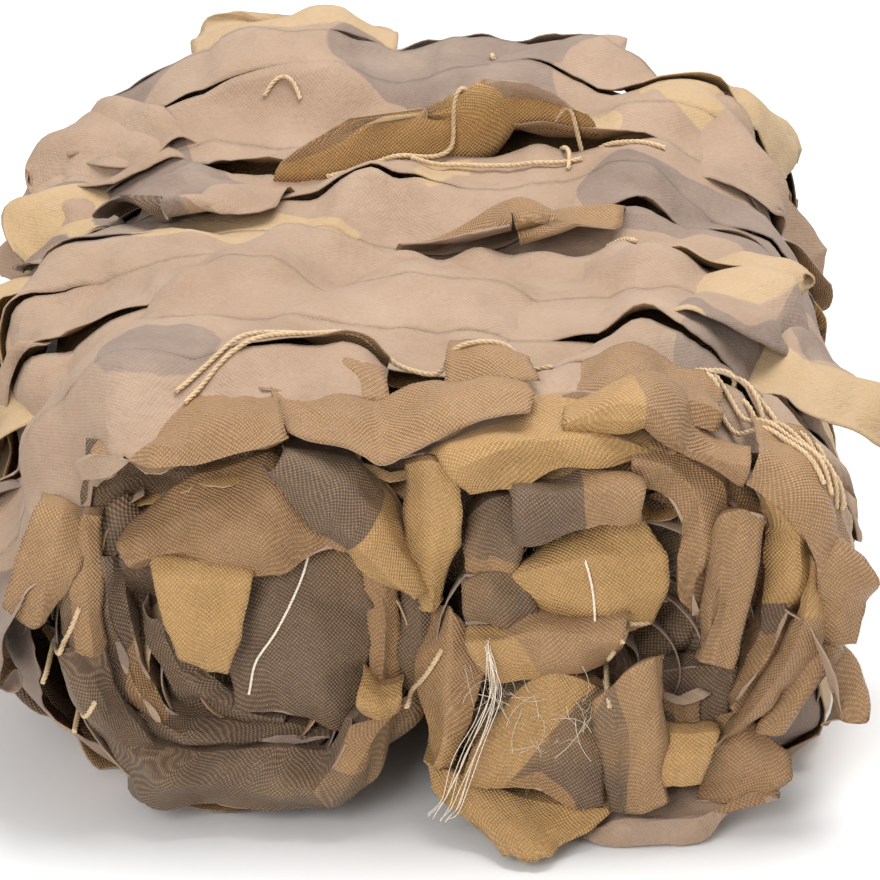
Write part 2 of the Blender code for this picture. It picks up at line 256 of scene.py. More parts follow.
printed_side = cloth_material("printed_cloth", PRINT, roughness=0.80, dust=0.34, weave_shade=0.08,
                              weave_height=0.00007, coat=0.0, thread_highlights=0.04, gold=0.0)
coated_side = cloth_material("coated_cloth", COATED, roughness=0.44, dust=0.05, weave_shade=0.66,
                             weave_height=0.00036, coat=0.14, thread_highlights=0.26, gold=0.60)


# ---- The outer cloth ---------------------------------------------------------------------------
# The outermost turn of the net, one printed cloth with rows of cuts. It lies over the top of both
# rolls and round their sides, and the lips of each cut lift and curl.
MM = 0.001
AXES = {-1: (-0.0437, 0.0420), 1: (0.0508, 0.0440)}
MIDDLE_X = 0.0027
TURN_STEP = 8
LAST_TURN = 312
SIDE_TURNS = 36
BRIDGE_SHARES = np.linspace(0, 1, 9)[1:-1]
ROW_STEP = 0.0125
LOOSE = 0.042
SPREAD = 0.0022
THICKNESS = 0.00042
SHARP = math.radians(24)
FLOOR_GAP = 0.0006


def smooth(t):
    t = np.clip(t, 0, 1)
    return t * t * (3 - 2 * t)


def cad_contour():
    """The outside of the CAD net: rows along Y of points from the left valley over to the right."""
    net = frame["nodes"]["wound_net"]
    tree = BVHTree.FromPolygons([v.co for v in net.data.vertices], [p.vertices[:] for p in net.data.polygons])
    ys = np.arange(FRONT + 0.030, BACK - 0.016, ROW_STEP)
    turns = np.arange(0, LAST_TURN + 1, TURN_STEP)

    def rolled(side, turn, y):
        x, z = AXES[side]
        way = Vector((side * math.sin(math.radians(turn)), 0, math.cos(math.radians(turn))))
        start = 0.2
        if way.x * side < -0.1:
            start = (MIDDLE_X - x) / way.x
        origin = Vector((x, y, z))
        hit = tree.ray_cast(origin + way * start, -way, start)[0]
        return hit if hit else origin + way * LOOSE

    rows = []
    for y in ys:
        row = [rolled(-1, t, y) for t in turns[::-1]]
        left, right = rolled(-1, 0, y), rolled(1, 0, y)
        for share in BRIDGE_SHARES:
            x = left.x + (right.x - left.x) * share
            row.append(tree.ray_cast(Vector((x, y, 0.3)), Vector((0, 0, -1)))[0])
        row += [rolled(1, t, y) for t in turns]
        rows.append([tuple(p) for p in row])
    grid = np.array(rows)
    for _ in range(2):
        grid[:, 1:-1] = (grid[:, :-2] + 2 * grid[:, 1:-1] + grid[:, 2:]) / 4
        grid[1:-1] = (grid[:-2] + 2 * grid[1:-1] + grid[2:]) / 4
    return ys, grid


CONTOUR_Y, CONTOUR = cad_contour()
steps = np.linalg.norm(np.diff(CONTOUR, axis=1), axis=2).mean(axis=0)
CONTOUR_S = np.concatenate([[0], np.cumsum(steps)])
over_top = slice(SIDE_TURNS, -SIDE_TURNS)
CONTOUR_S -= np.interp(MIDDLE_X, CONTOUR[:, :, 0].mean(axis=0)[over_top], CONTOUR_S[over_top])
ROUNDING = 0.052
ROUND_DROP = 0.22
BACK_ROUNDING = 0.03
BACK_DROP = 0.16
CROSSOVER = 0.06
ROLL_HEART = {-1: np.array([-0.0437, 0, 0.048]), 1: np.array([0.0508, 0, 0.052])}


def bilinear(values, rows, columns, y, s):
    i = np.clip(np.interp(y, rows, np.arange(len(rows))), 0, len(rows) - 1.001)
    j = np.clip(np.interp(s, columns, np.arange(len(columns))), 0, len(columns) - 1.001)
    a, b = np.floor(i).astype(int), np.floor(j).astype(int)
    p, q = (i - a)[..., None], (j - b)[..., None]
    return ((values[a, b] * (1 - q) + values[a, b + 1] * q) * (1 - p)
            + (values[a + 1, b] * (1 - q) + values[a + 1, b + 1] * q) * p)


def wrap(s, y, height=0.0):
    """Points at a height over the bundle, and its normals: s runs across over the top, y along it."""
    s, y = np.broadcast_arrays(np.asarray(s, float), np.asarray(y, float))

    def base(s, y):
        point = bilinear(CONTOUR, CONTOUR_Y, CONTOUR_S, y, s)
        point[..., 1] = y
        side = smooth(0.5 + s / CROSSOVER)[..., None]
        heart = ROLL_HEART[-1] * (1 - side) + ROLL_HEART[1] * side
        lean = (1 - smooth((y - FRONT) / ROUNDING)) * ROUND_DROP
        lean = lean + (1 - smooth((BACK - y) / BACK_ROUNDING)) * BACK_DROP
        pull = (heart - point) * lean[..., None]
        pull[..., 1] = 0
        return point + pull

    point = base(s, y)
    step = 0.003
    along_s = base(s + step, y) - base(s - step, y)
    along_y = base(s, y + step) - base(s, y - step)
    normal = np.cross(along_s, along_y)
    normal /= np.linalg.norm(normal, axis=-1, keepdims=True)
    return point + normal * np.asarray(height)[..., None], normal


def waves(u, v, rng, size, count=7):
    """Smooth hills and hollows about 1 high, of about the given size."""
    total = np.zeros(np.broadcast(u, v).shape)
    for _ in range(count):
        heading = rng.uniform(0, math.pi)
        number = 2 * math.pi / (size * rng.uniform(1.2, 2.6))
        total += np.sin((u * math.cos(heading) + v * math.sin(heading)) * number + rng.uniform(0, 6.3))
    return total / math.sqrt(count)


def creases(u, v, rng, pitch, height):
    """The height of crumpled cloth over its flat cut: sharp folds at random places and headings."""
    total = np.zeros(u.shape)
    count = int(3 + 1.4 * np.ptp(u) * np.ptp(v) / pitch ** 2)
    for _ in range(count):
        heading = rng.uniform(0, math.pi)
        off_u, off_v = u - rng.uniform(u.min(), u.max()), v - rng.uniform(v.min(), v.max())
        across = off_u * math.cos(heading) + off_v * math.sin(heading)
        along = off_v * math.cos(heading) - off_u * math.sin(heading)
        ridge = np.clip(1 - np.abs(across) / (pitch * rng.uniform(0.5, 1.3)), 0, None)
        window = np.clip(1 - (along / (pitch * rng.uniform(0.9, 2.6))) ** 2, 0, None)
        total += rng.choice((-1, 1)) * rng.uniform(0.25, 1) * ridge * window
    return total * height


def facets(u, v, rng, count, pitch, slope):
    """The height of cloth bent along long straight folds: flat faces that meet at sharp ridges."""
    total = np.zeros(u.shape)
    for _ in range(count):
        heading = rng.uniform(0, math.pi)
        apart = pitch * rng.uniform(0.7, 1.6)
        across = (u * math.cos(heading) + v * math.sin(heading)) / apart + rng.uniform(0, 1)
        total += (np.abs(across - np.round(across)) - 0.25) * apart * slope * rng.uniform(0.4, 1)
    return total


def ragged(along, rng, size, depth):
    """How far a cut edge wanders: long waves, short waves and a few sharp nicks."""
    edge = waves(along, 0 * along, rng, size) * depth * 0.5
    edge += waves(along, 0 * along, rng, size * 0.22) * depth * 0.16
    for _ in range(int(np.ptp(along) / size) + 1):
        at, width = rng.uniform(along.min(), along.max()), size * rng.uniform(0.05, 0.16)
        edge += depth * rng.uniform(0.3, 1.1) * np.clip(1 - np.abs(along - at) / width, 0, None)
    return edge


def cloth_mesh(name, points, cut, tan, grey, flip=False, gone=None):
    """A thin cloth from a grid of points, with its flat cut map and its print."""
    rows, columns = points.shape[:2]
    index = np.arange(rows * columns).reshape(rows, columns)
    quads = np.stack([index[:-1, :-1], index[:-1, 1:], index[1:, 1:], index[1:, :-1]], axis=-1)
    if gone is not None:
        quads = quads[~(gone[:-1, :-1] | gone[:-1, 1:] | gone[1:, 1:] | gone[1:, :-1])]
    quads = quads.reshape(-1, 4)
    if flip:
        quads = quads[:, ::-1]
    used, remapped = np.unique(quads, return_inverse=True)
    quads = remapped.reshape(-1, 4)
    mesh = bpy.data.meshes.new(name)
    mesh.from_pydata(points.reshape(-1, 3)[used].tolist(), [], quads.tolist())
    flat = cut.reshape(-1, 2)[used]
    layer = mesh.uv_layers.new(name="cut")
    layer.data.foreach_set("uv", flat[quads.reshape(-1)].astype(np.float32).ravel())
    for key, field in (("tan", tan), ("grey", grey)):
        attribute = mesh.attributes.new(key, "FLOAT", "POINT")
        attribute.data.foreach_set("value", field.reshape(-1)[used].astype(np.float32))
    mesh.polygons.foreach_set("use_smooth", [True] * len(mesh.polygons))
    mesh.set_sharp_from_angle(angle=SHARP)
    mesh.materials.append(printed_side)
    mesh.materials.append(coated_side)
    corners = flat[quads]
    a, b = corners[:, 2] - corners[:, 0], corners[:, 3] - corners[:, 1]
    area = float(np.abs(a[:, 0] * b[:, 1] - a[:, 1] * b[:, 0]).sum() / 2)
    piece = bpy.data.objects.new(name, mesh)
    bpy.context.scene.collection.objects.link(piece)
    shell = piece.modifiers.new("thickness", "SOLIDIFY")
    shell.thickness = THICKNESS
    shell.offset = 0
    shell.material_offset = 1
    shell.use_quality_normals = True
    size = (float(np.ptp(flat[:, 0])), float(np.ptp(flat[:, 1])))
    return piece, size, min(area, size[0] * size[1])


def cloth_piece(name, points, cut, tan, grey, slot, replaced=(), **how):
    """A finished sheet of the net: made, and given its body."""
    points = points.copy()
    points[..., 2] = np.maximum(points[..., 2], FLOOR_GAP)
    piece, size, area = cloth_mesh(name, points, cut, tan, grey, **how)
    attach(piece, "root")
    if replaced:
        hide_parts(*replaced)
    return piece


# Rows of cuts: where each row lies behind the front end, in millimetres.
CUT_ROWS = (12, 46, 74, 104, 140, 166, 190, 214, 240, 266, 292, 324)
# Each cut: row, middle across and half length, then how far the lip behind it and the lip in
# front of it lift, in degrees.
CUTS = (
    (1, -84, 44, 8, 10), (1, -12, 42, 34, 12), (1, 96, 60, 20, 12), (1, -190, 46, 30, 0),
    (1, 196, 40, 24, 10),
    (2, -150, 62, 32, 6), (2, 148, 50, 26, 8), (2, 60, 26, 22, 0),
    (3, -132, 66, 36, 8), (3, 150, 56, 30, 8), (3, -230, 40, 40, 0),
    (4, 6, 62, 26, 38), (4, -156, 60, 42, 6), (4, 138, 42, 24, 10), (4, 226, 40, 30, 0),
    (5, 66, 34, 34, 12), (5, -128, 52, 26, 8), (5, 178, 46, 34, 8),
    (6, -18, 30, 22, 14), (6, -176, 56, 46, 8), (6, 130, 40, 26, 0),
    (7, 0, 66, 96, 14), (7, -118, 40, 22, 8), (7, 168, 52, 40, 8),
    (8, -150, 60, 44, 6), (8, 118, 40, 30, 12),
    (9, -60, 34, 22, 20), (9, 66, 36, 26, 14), (9, -190, 50, 30, 8), (9, 170, 60, 50, 6),
    (10, 14, 56, 24, 24), (10, -120, 44, 30, 16), (10, 120, 44, 34, 16),
)
LIP = 0.021
EDGE_S = 0.272
HEM_RAGS = (0.045, 0.0085)
SLIT_RAGS = 0.0042
SLIT_NICKS = 0.0007
# Where the front edge lies calm: across and half length.
CALM = ((-64, 46), (-6, 40), (88, 34))
# The opening over the front end: half width, and from and to behind the front end.
FRONT_HOLE = (0.016, 0.019, 0.050)
HOLE_X = 0.006
# Hills of bunched cloth: across, behind the front end, half sizes, height.
HILLS = ((-62, 292, 46, 44, 14), (14, 284, 42, 44, 12), (84, 286, 26, 50, 8), (-96, 120, 22, 60, 4),
         (-20, 196, 90, 14, 4), (-30, 92, 80, 30, 3), (104, 150, 20, 40, 4))
# Patches of the print placed on the cloth: across, behind the front end, half sizes, tan, grey.
PATCHES = (
    (-55, 168, 30, 19, 3.0, -1), (-88, 216, 20, 42, -2, 3.2), (60, 180, 14, 18, -2, 3.2),
    (46, 232, 12, 12, 2.6, -2), (84, 268, 20, 32, 3.0, -2), (-42, 318, 16, 14, 2.6, -2),
    (4, 292, 60, 28, -2, 2.0), (-20, 96, 90, 52, -2.6, -1.8), (80, 82, 18, 30, -2, 2.6),
    (-140, 130, 26, 60, 2.6, -1.2), (120, 150, 20, 60, -2, 1.4), (-30, 236, 40, 26, -2.2, -1),
    (20, 150, 40, 20, -2, -1.6), (-60, 40, 26, 16, -2, 0.4), (150, 60, 30, 40, 1.6, 0),
)


def hills(s, y):
    total = 0 * (s + y)
    for across, along, half_s, half_y, up in HILLS:
        off = ((s / MM - across) / half_s) ** 2 + (((y - FRONT) / MM - along) / half_y) ** 2
        total = total + up * MM * np.exp(-off)
    return total


def rise_of(s, row, lip):
    """How far a lip of a row of cuts lifts, in degrees; lip is that lip's column in CUTS."""
    rise = np.zeros(len(s))
    for cut in CUTS:
        if cut[0] == row:
            opening = np.clip(1 - ((s / MM - cut[1]) / cut[2]) ** 2, 0, None) ** 0.8
            rise = np.maximum(rise, opening * cut[lip])
    return rise


def lifted(angle_near, angle_far, step):
    """How far each point of a strip moves, forwards and up, bent from its middle to both lips."""
    middle = len(angle_near) // 2
    offset = np.zeros((*angle_near.shape, 2))
    for k in range(middle - 1, -1, -1):
        turn = (angle_near[k] + angle_near[k + 1]) / 2
        offset[k] = offset[k + 1] + np.stack([-np.cos(turn) * step, np.sin(turn) * step], axis=1)
    for k in range(middle + 1, len(angle_near)):
        turn = (angle_far[k] + angle_far[k - 1]) / 2
        offset[k] = offset[k - 1] + np.stack([np.cos(turn) * step, np.sin(turn) * step], axis=1)
    return offset


def outer_cloth():
    """The outer cloth, row by row, with each cut's lips lifted off the wrap."""
    rng = np.random.default_rng(11)
    s = np.arange(-EDGE_S, EDGE_S + SPREAD, SPREAD)
    edges = []
    for number, row in enumerate(CUT_ROWS):
        if number in (0, len(CUT_ROWS) - 1):
            drawn_in = 0.012 * smooth((np.abs(s) - 0.15) / 0.05) * (1 if number == 0 else -1)
            wander = ragged(s, rng, *HEM_RAGS) + drawn_in
        else:
            wander = waves(s, 0 * s, rng, 0.06) * SLIT_RAGS
            wander += waves(s, 0 * s, rng, 0.012) * SLIT_NICKS
        edges.append(FRONT + row * MM + wander)
    grids = []
    for number, (near, far) in enumerate(zip(edges, edges[1:])):
        count = int(round((CUT_ROWS[number + 1] - CUT_ROWS[number]) * MM / SPREAD)) + 1
        share = np.linspace(0, 1, count)[:, None]
        y = near + (far - near) * share
        from_near, from_far = y - near, far - y
        width = far - near
        rise_near = rise_of(s, number, 3) * (1 + 0.34 * waves(s, 0 * s, rng, 0.014))
        rise_far = rise_of(s, number + 1, 4) * (1 + 0.34 * waves(s, 0 * s, rng, 0.014))
        if number == 0:
            lip = (16 + 14 * waves(s, 0 * s, rng, 0.03)) * smooth((0.185 - np.abs(s)) / 0.04)
            for middle, half in CALM:
                lip = lip * (1 - np.exp(-((s / MM - middle) / half) ** 4))
            rise_near = rise_near + lip
        if number == len(CUT_ROWS) - 2:
            rise_far = rise_far + 8 + 16 * waves(s, 0 * s, rng, 0.03)
        reach = np.minimum(LIP, width * 0.5)
        angle_near = np.radians(rise_near) * smooth(1 - from_near / reach) ** 0.8
        angle_far = np.radians(rise_far) * smooth(1 - from_far / reach) ** 0.8
        offset = lifted(angle_near, angle_far, width / (count - 1))
        new_y = y[count // 2] + offset[..., 0]
        grid_s = np.broadcast_to(s, new_y.shape)
        height = offset[..., 1]
        grids.append((grid_s, y, new_y, height))
    pieces_s = np.concatenate([g[0] for g in grids])
    flat_y = np.concatenate([g[1] for g in grids])
    new_y = np.concatenate([g[2] for g in grids])
    height = np.concatenate([g[3] for g in grids])
    swell = waves(pieces_s, flat_y, rng, 0.055) * 0.0014 + waves(pieces_s, flat_y, rng, 0.022) * 0.0005
    swell += creases(pieces_s, flat_y, rng, 0.026, 0.0038) + creases(pieces_s, flat_y, rng, 0.011, 0.0010)
    half_hole, hole_near, hole_far = FRONT_HOLE
    behind = flat_y - FRONT
    gone = (np.abs(pieces_s - HOLE_X) < half_hole) & (behind > hole_near) & (behind < hole_far)
    low = smooth((0.215 - np.abs(pieces_s - 0.003)) / 0.05)
    swell += facets(pieces_s, flat_y, rng, 9, 0.046, 0.17)
    swell = np.maximum(swell, -0.0042) + hills(pieces_s, flat_y)
    points, _ = wrap(pieces_s, new_y, height + swell * (0.25 + 0.75 * low) + 0.0012)
    tan = waves(pieces_s, flat_y, rng, 0.040) - 0.85
    grey = waves(pieces_s, flat_y, rng, 0.046) - 0.65
    for across, along, half_s, half_y, to_tan, to_grey in PATCHES:
        off = ((pieces_s / MM - across) / half_s) ** 2 + (((flat_y - FRONT) / MM - along) / half_y) ** 2
        tan = tan + to_tan * np.exp(-off ** 1.5)
        grey = grey + to_grey * np.exp(-off ** 1.5)
    cut = np.stack([pieces_s, flat_y - FRONT], axis=-1)
    seams = np.cumsum([len(g[0]) for g in grids])[:-1]
    return points, cut, tan, grey, seams, gone


points, cut, tan, grey, seams, gone = outer_cloth()
for number, rows in enumerate(np.split(np.arange(points.shape[0]), seams)):
    cloth_piece(f"outer_cloth_{number + 1}", points[rows], cut[rows], tan[rows], grey[rows], "cloth_brown",
                replaced=("wound_net",) if number == 0 else (), gone=gone[rows])


# ---- The turns under the outer cloth ---------------------------------------------------------
# Two more turns of the net lie loosely crumpled under the outer one, coated side out. They show
# in the cuts and close the bundle below them.
UNDER_STEP = 0.0034
UNDER_EDGE = 0.225
# Each turn: name, how deep it lies, how crumpled it is, seed, tone.
UNDER = (
    ("under_cloth_1", -0.0100, 0.0040, 51, "sand"),
    ("under_cloth_2", -0.0190, 0.0050, 52, "brown"),
)
# How far each tone of cloth leans to the tan and to the grey of the print.
BIAS = {
    "tan": (2.2, -1), "brown": (-2.0, -2.0), "grey": (-2.2, 2.2), "mixed": (-0.2, 0.2),
    "earth": (-1.7, 0.5), "sand": (0.7, -1.2),
}
SLOT_OF = {"tan": "cloth_tan", "sand": "cloth_tan", "grey": "cloth_grey", "earth": "cloth_grey"}


def print_of(u, v, rng, bias, tan_size=0.030, grey_size=0.034):
    """The print's two fields over a cloth: how far into its tan and its grey each point lies."""
    return waves(u, v, rng, tan_size) + bias[0], waves(u, v, rng, grey_size) + bias[1]


def under_cloth(name, depth, crumple, seed, tone):
    rng = np.random.default_rng(seed)
    s = np.arange(-UNDER_EDGE, UNDER_EDGE + MM, UNDER_STEP)
    share = np.linspace(0, 1, int((BACK - FRONT) / UNDER_STEP))[:, None]
    near = FRONT + 0.007 - 0.4 * depth + ragged(s, rng, 0.03, 0.006)
    far = BACK - 0.008 - ragged(s, rng, 0.03, 0.006)
    y = near + (far - near) * share
    run = np.broadcast_to(s, y.shape)
    height = waves(run, y, rng, 0.040) * crumple * 0.4 + creases(run, y, rng, 0.020, crumple)
    points, _ = wrap(run, y, np.minimum(height, crumple * 0.6) + depth + hills(run, y))
    gone = np.zeros(y.shape, bool)
    if depth > -0.015:
        gone = (np.abs(run - 0.006) < 0.017) & (np.abs(y - FRONT - 0.034) < 0.017)
    tan, grey = print_of(run, y, rng, BIAS[tone], 0.04, 0.04)
    cut = np.stack([run, y - FRONT], axis=-1)
    cloth_piece(name, points, cut, tan, grey, "cloth_brown", flip=True, gone=gone)


for row in UNDER:
    under_cloth(*row)


# ---- The wound plies -------------------------------------------------------------------------
# The folded net inside the bundle: one long ply wound from each side to a core. Its ends show
# between the folds at both ends, and its turns close the view through the cuts.
PLY_TURNS = 5.4
PLY_CORE, PLY_RIM = 0.0045, 0.0455
PLY_STEP = 0.0056
PLY_COLUMNS = 340
PLY_SHORT = 0.012


def wound_ply(name, side, seed):
    rng = np.random.default_rng(seed)
    x, z = AXES[side]
    turns = np.linspace(0, 1, PLY_COLUMNS)
    angle = (1 - turns) * PLY_TURNS * 2 * math.pi + 0.5
    radius = PLY_CORE + (PLY_RIM - PLY_CORE) * turns ** 0.9
    length = np.concatenate([[0], np.cumsum(np.hypot(np.diff(radius), radius[1:] * np.abs(np.diff(angle))))])
    near = FRONT + PLY_SHORT + 0.004 * waves(length, 0 * length, rng, 0.05)
    far = BACK - PLY_SHORT - 0.004 * waves(length, 0 * length, rng, 0.05)
    share = np.linspace(0, 1, int((BACK - FRONT) / PLY_STEP))[:, None]
    y = near + (far - near) * share
    run = np.broadcast_to(length, y.shape)
    height = waves(run, y, rng, 0.030) * 0.0011 + creases(run, y, rng, 0.030, 0.0022)
    r = radius + height
    loose = 0.012 * smooth((turns - 0.72) / 0.28) * smooth(0.5 + np.cos(angle))
    points = np.stack([x + side * (r + loose) * np.sin(angle), y, z + (r + loose) * np.cos(angle)], axis=-1)
    tan, grey = print_of(run, y, rng, (-0.4, -0.1), 0.04, 0.04)
    cut = np.stack([run, y - FRONT], axis=-1)
    cloth_piece(name, points, cut, tan, grey, "cloth_grey", flip=side > 0)


wound_ply("wound_ply_left", -1, 21)
wound_ply("wound_ply_right", 1, 22)


# ---- Folds at the ends of the rolls ------------------------------------------------------------
# Each end shows the folded edges of the net: bands of cloth wound round the core, and leaves that
# stick out between them. A fold follows a route, and its section runs inwards and forwards.
FOLD_STEP = 0.0019


def even(points, step, rounding):
    """Points spaced evenly along a route, with its corners slightly rounded."""
    points = np.array(points, float)
    run = np.concatenate([[0], np.cumsum(np.linalg.norm(np.diff(points, axis=0), axis=1))])
    count = max(4, int(run[-1] / step) + 1)
    at = np.linspace(0, run[-1], count)
    line = np.stack([np.interp(at, run, points[:, k]) for k in range(points.shape[1])], axis=1)
    for _ in range(rounding):
        line[1:-1] = (line[:-2] + 2 * line[1:-1] + line[2:]) / 4
    return line, at


def fold(name, route, profile, tone, seed, back):
    """A fold of cloth: route is (x, z, depth) in millimetres, profile is (inwards, forwards)."""
    rng = np.random.default_rng(seed)
    line, u = even(route * MM, FOLD_STEP, 2)
    section, v = even(np.array(profile) * MM, FOLD_STEP * 0.8, 1)
    way = np.gradient(line[:, :2], axis=0)
    for _ in range(4):
        way[1:-1] = (way[:-2] + 2 * way[1:-1] + way[2:]) / 4
    way /= np.linalg.norm(way, axis=1, keepdims=True)
    free = smooth((v / v[-1] - 0.5) * 2)[:, None] * ragged(u, rng, 0.02, 0.0030)
    inwards = section[:, :1] + free * np.gradient(section[:, 0])[-1] / FOLD_STEP
    forwards = section[:, 1:]
    x = line[:, 0] + way[:, 1] * inwards
    z = line[:, 1] - way[:, 0] * inwards
    y = FRONT + line[:, 2] - forwards
    steps = np.hypot(np.diff(inwards, axis=0), np.diff(forwards + 0 * inwards, axis=0))
    grid_v = np.concatenate([np.zeros((1, len(u))), np.cumsum(steps, axis=0)])
    middle = np.hypot(np.gradient(x, axis=1), np.gradient(z, axis=1)).mean(axis=0)
    u = np.cumsum(middle) - middle[0]
    grid_u = np.broadcast_to(u, grid_v.shape)
    sides = np.where(grid_u < u[-1] / 2, -1, 1) * smooth(np.abs(grid_u / u[-1] - 0.5) * 4 - 1)
    edge = ragged(v, rng, 0.018, 0.0022)[:, None] * sides
    x = x + way[:, 0] * edge
    z = z + way[:, 1] * edge
    points = np.stack([x, y, z], axis=-1)
    normal = -np.cross(np.gradient(points, axis=1), np.gradient(points, axis=0))
    normal /= np.linalg.norm(normal, axis=-1, keepdims=True) + 1e-12
    relief = waves(grid_u, grid_v, rng, 0.020) * 0.0007 + creases(grid_u, grid_v, rng, 0.016, 0.0019)
    relief += creases(grid_u, grid_v, rng, 0.007, 0.0006)
    points = points + normal * relief[..., None]
    tan, grey = print_of(grid_u, grid_v, rng, BIAS[tone])
    if back:
        points[..., 1] = FRONT + BACK - points[..., 1]
    cut = np.stack([grid_u, grid_v], axis=-1)
    cloth_piece(name, points, cut, tan, grey, SLOT_OF.get(tone, "cloth_brown"), flip=back)


# Bands wound round a core: name, centre x and z, from and to in degrees clockwise from the top,
# radius from and to, depth from and to, width, how far the inner edge falls back, corners, tone, seed.
RINGS = (
    ("left_rim", -43, 51, 92, 268, 47, 46, 17, 15, 16, 5, 7, "earth", 1),
    ("left_inner", -42, 52, 100, 300, 30, 28, 18, 17, 13, 4, 6, "grey", 2),
    ("left_upper", -40, 54, -62, 76, 44, 42, 20, 17, 16, 2, 5, "brown", 4),
    ("left_side", -43, 54, 256, 318, 50, 50, 16, 16, 12, 3, 4, "earth", 5),
    ("right_outer", 50, 61, 28, 152, 50, 48, 18, 16, 17, 3, 6, "brown", 6),
    ("right_lower", 50, 56, 128, 232, 50, 48, 16, 15, 17, 3, 5, "earth", 7),
    ("right_left", 50, 60, 226, 318, 42, 42, 18, 18, 14, 3, 4, "earth", 8),
    ("right_inner", 47, 66, 96, 396, 33, 32, 18, 17, 14, 4, 5, "grey", 10),
    ("right_core", 47, 68, 0, 330, 20, 18, 17, 18, 10, 3, 5, "grey", 12),
    ("left_core", -38, 56, 0, 330, 18, 16, 18, 17, 10, 3, 5, "grey", 13),
)


def ring(name, x, z, begin, end, wide, narrow, deep, shallow, width, lean, corners, tone, seed, back):
    rng = np.random.default_rng(seed)
    share = np.linspace(0, 1, corners + 1)
    angle = np.radians(begin + (end - begin) * share)
    radius = wide + (narrow - wide) * share + rng.uniform(-1.8, 1.8, corners + 1)
    depth = deep + (shallow - deep) * share + rng.uniform(-2.2, 2.2, corners + 1)
    route = np.stack([x + radius * np.sin(angle), z + radius * np.cos(angle), depth], axis=1)
    profile = ((-1, -34), (0, -14), (0, -3), (1.5, -0.4), (width * 0.5, 1), (width, -lean),
               (width + 1.5, -lean - 5))
    if back:
        fold("turn_back_" + name, route, profile, tone, seed + 60, True)
    else:
        fold("turn_" + name, route, profile, tone, seed + 40, False)


for row in RINGS:
    ring(*row, back=False)
    ring(*row, back=True)


def spaced(grid, axis, step, rounding):
    """The net resampled evenly along one axis, with its folds slightly rounded."""
    grid = np.swapaxes(grid, 0, axis)
    gaps = np.linalg.norm(np.diff(grid, axis=0), axis=2).mean(axis=1)
    run = np.concatenate([[0], np.cumsum(gaps)])
    at = np.linspace(0, run[-1], max(4, int(run[-1] / step) + 1))
    k = np.clip(np.searchsorted(run, at, side="right") - 1, 0, len(run) - 2)
    share = ((at - run[k]) / (run[k + 1] - run[k]))[:, None, None]
    grid = grid[k] * (1 - share) + grid[k + 1] * share
    for _ in range(rounding):
        grid[1:-1] = (grid[:-2] + 2 * grid[1:-1] + grid[2:]) / 4
    return np.swapaxes(grid, 0, axis)


def laid_flat(points):
    """The cloth's flat cut: lengths along each row, and across from row to row."""
    across = np.diff(points, axis=1)
    across = np.concatenate([0 * across[:, :1], across], axis=1)
    along = np.gradient(points, axis=1)
    along /= np.linalg.norm(along, axis=-1, keepdims=True) + 1e-12
    down = np.diff(points, axis=0)
    down = down - (down * along[1:]).sum(axis=-1, keepdims=True) * along[1:]
    down = np.concatenate([0 * down[:1], down])
    run_u = np.cumsum(np.linalg.norm(across, axis=-1), axis=1)
    run_v = np.cumsum(np.linalg.norm(down, axis=-1), axis=0)
    return run_u - run_u[:, -1:] / 2, run_v


edge_lines = {}
FLATTER = 0.6
PANEL_STEP = 0.0015
BACK_COARSER = 1.5


def panel(name, net, tone, seed, shown="coated", tuck=(0, 0), crumple=1.0, back=False, replaced=()):
    """A leaf or strip of cloth over a net of points, its tone shading from one end to the other."""
    rng = np.random.default_rng(seed)
    net = [np.array(row, float) for row in net]
    for row in net:
        row[:, 2] = row[:, 2].mean() + FLATTER * (row[:, 2] - row[:, 2].mean())
    step = PANEL_STEP * (BACK_COARSER if back else 1)
    grid = spaced(spaced(np.stack(net) * MM, 1, step, 1), 0, step, 1)
    before, after = (np.arange(1, int(deep * MM / step) + 1) for deep in tuck)
    behind = (0, 0, step)
    grid = np.concatenate([grid[:1] + before[::-1, None, None] * behind, grid,
                           grid[-1:] + after[:, None, None] * behind])
    points = np.stack([grid[..., 0], FRONT + grid[..., 2], grid[..., 1]], axis=-1)
    along, down = np.gradient(points, axis=1), np.gradient(points, axis=0)
    along /= np.linalg.norm(along, axis=-1, keepdims=True) + 1e-12
    down /= np.linalg.norm(down, axis=-1, keepdims=True) + 1e-12
    rows, columns = (np.linspace(-1, 1, n) for n in points.shape[:2])
    run_u, run_v = laid_flat(points)
    near_ends, near_sides = (np.abs(at) ** 6 * np.sign(at) for at in (rows, columns))
    edge_v = ragged(run_u.mean(axis=0), rng, 0.024, 0.0008) * near_ends[:, None]
    edge_u = ragged(run_v.mean(axis=1), rng, 0.024, 0.0007)[:, None] * near_sides
    points = points + down * edge_v[..., None] + along * edge_u[..., None]
    normal = np.cross(along, down)
    normal /= np.linalg.norm(normal, axis=-1, keepdims=True) + 1e-12
    front_facing = normal[..., 1].mean() < 0
    relief = creases(run_u, run_v, rng, 0.014, 0.0012 * crumple)
    relief += creases(run_u, run_v, rng, 0.006, 0.0004 * crumple)
    relief += facets(run_u, run_v, rng, 4, 0.024, 0.17 * crumple)
    points = points + normal * (relief if front_facing else -relief)[..., None]
    cut = np.stack(laid_flat(points), axis=-1)
    tones = tone if isinstance(tone, tuple) else (tone, tone)
    change = smooth((columns + 1) / 2 * 1.6 - 0.3)
    bias = [first * (1 - change) + last * change for first, last in zip(BIAS[tones[0]], BIAS[tones[1]])]
    tan, grey = print_of(run_u, run_v, rng, bias)
    if back:
        points[..., 1] = FRONT + BACK - points[..., 1]
    edge_lines[name] = points[-1 - int(tuck[1] * MM / step)]
    slot = SLOT_OF.get(tones[0], "cloth_brown")
    flip = (front_facing != (shown == "printed")) != back
    cloth_piece(name, points, cut, tan, grey, slot, replaced, flip=flip)


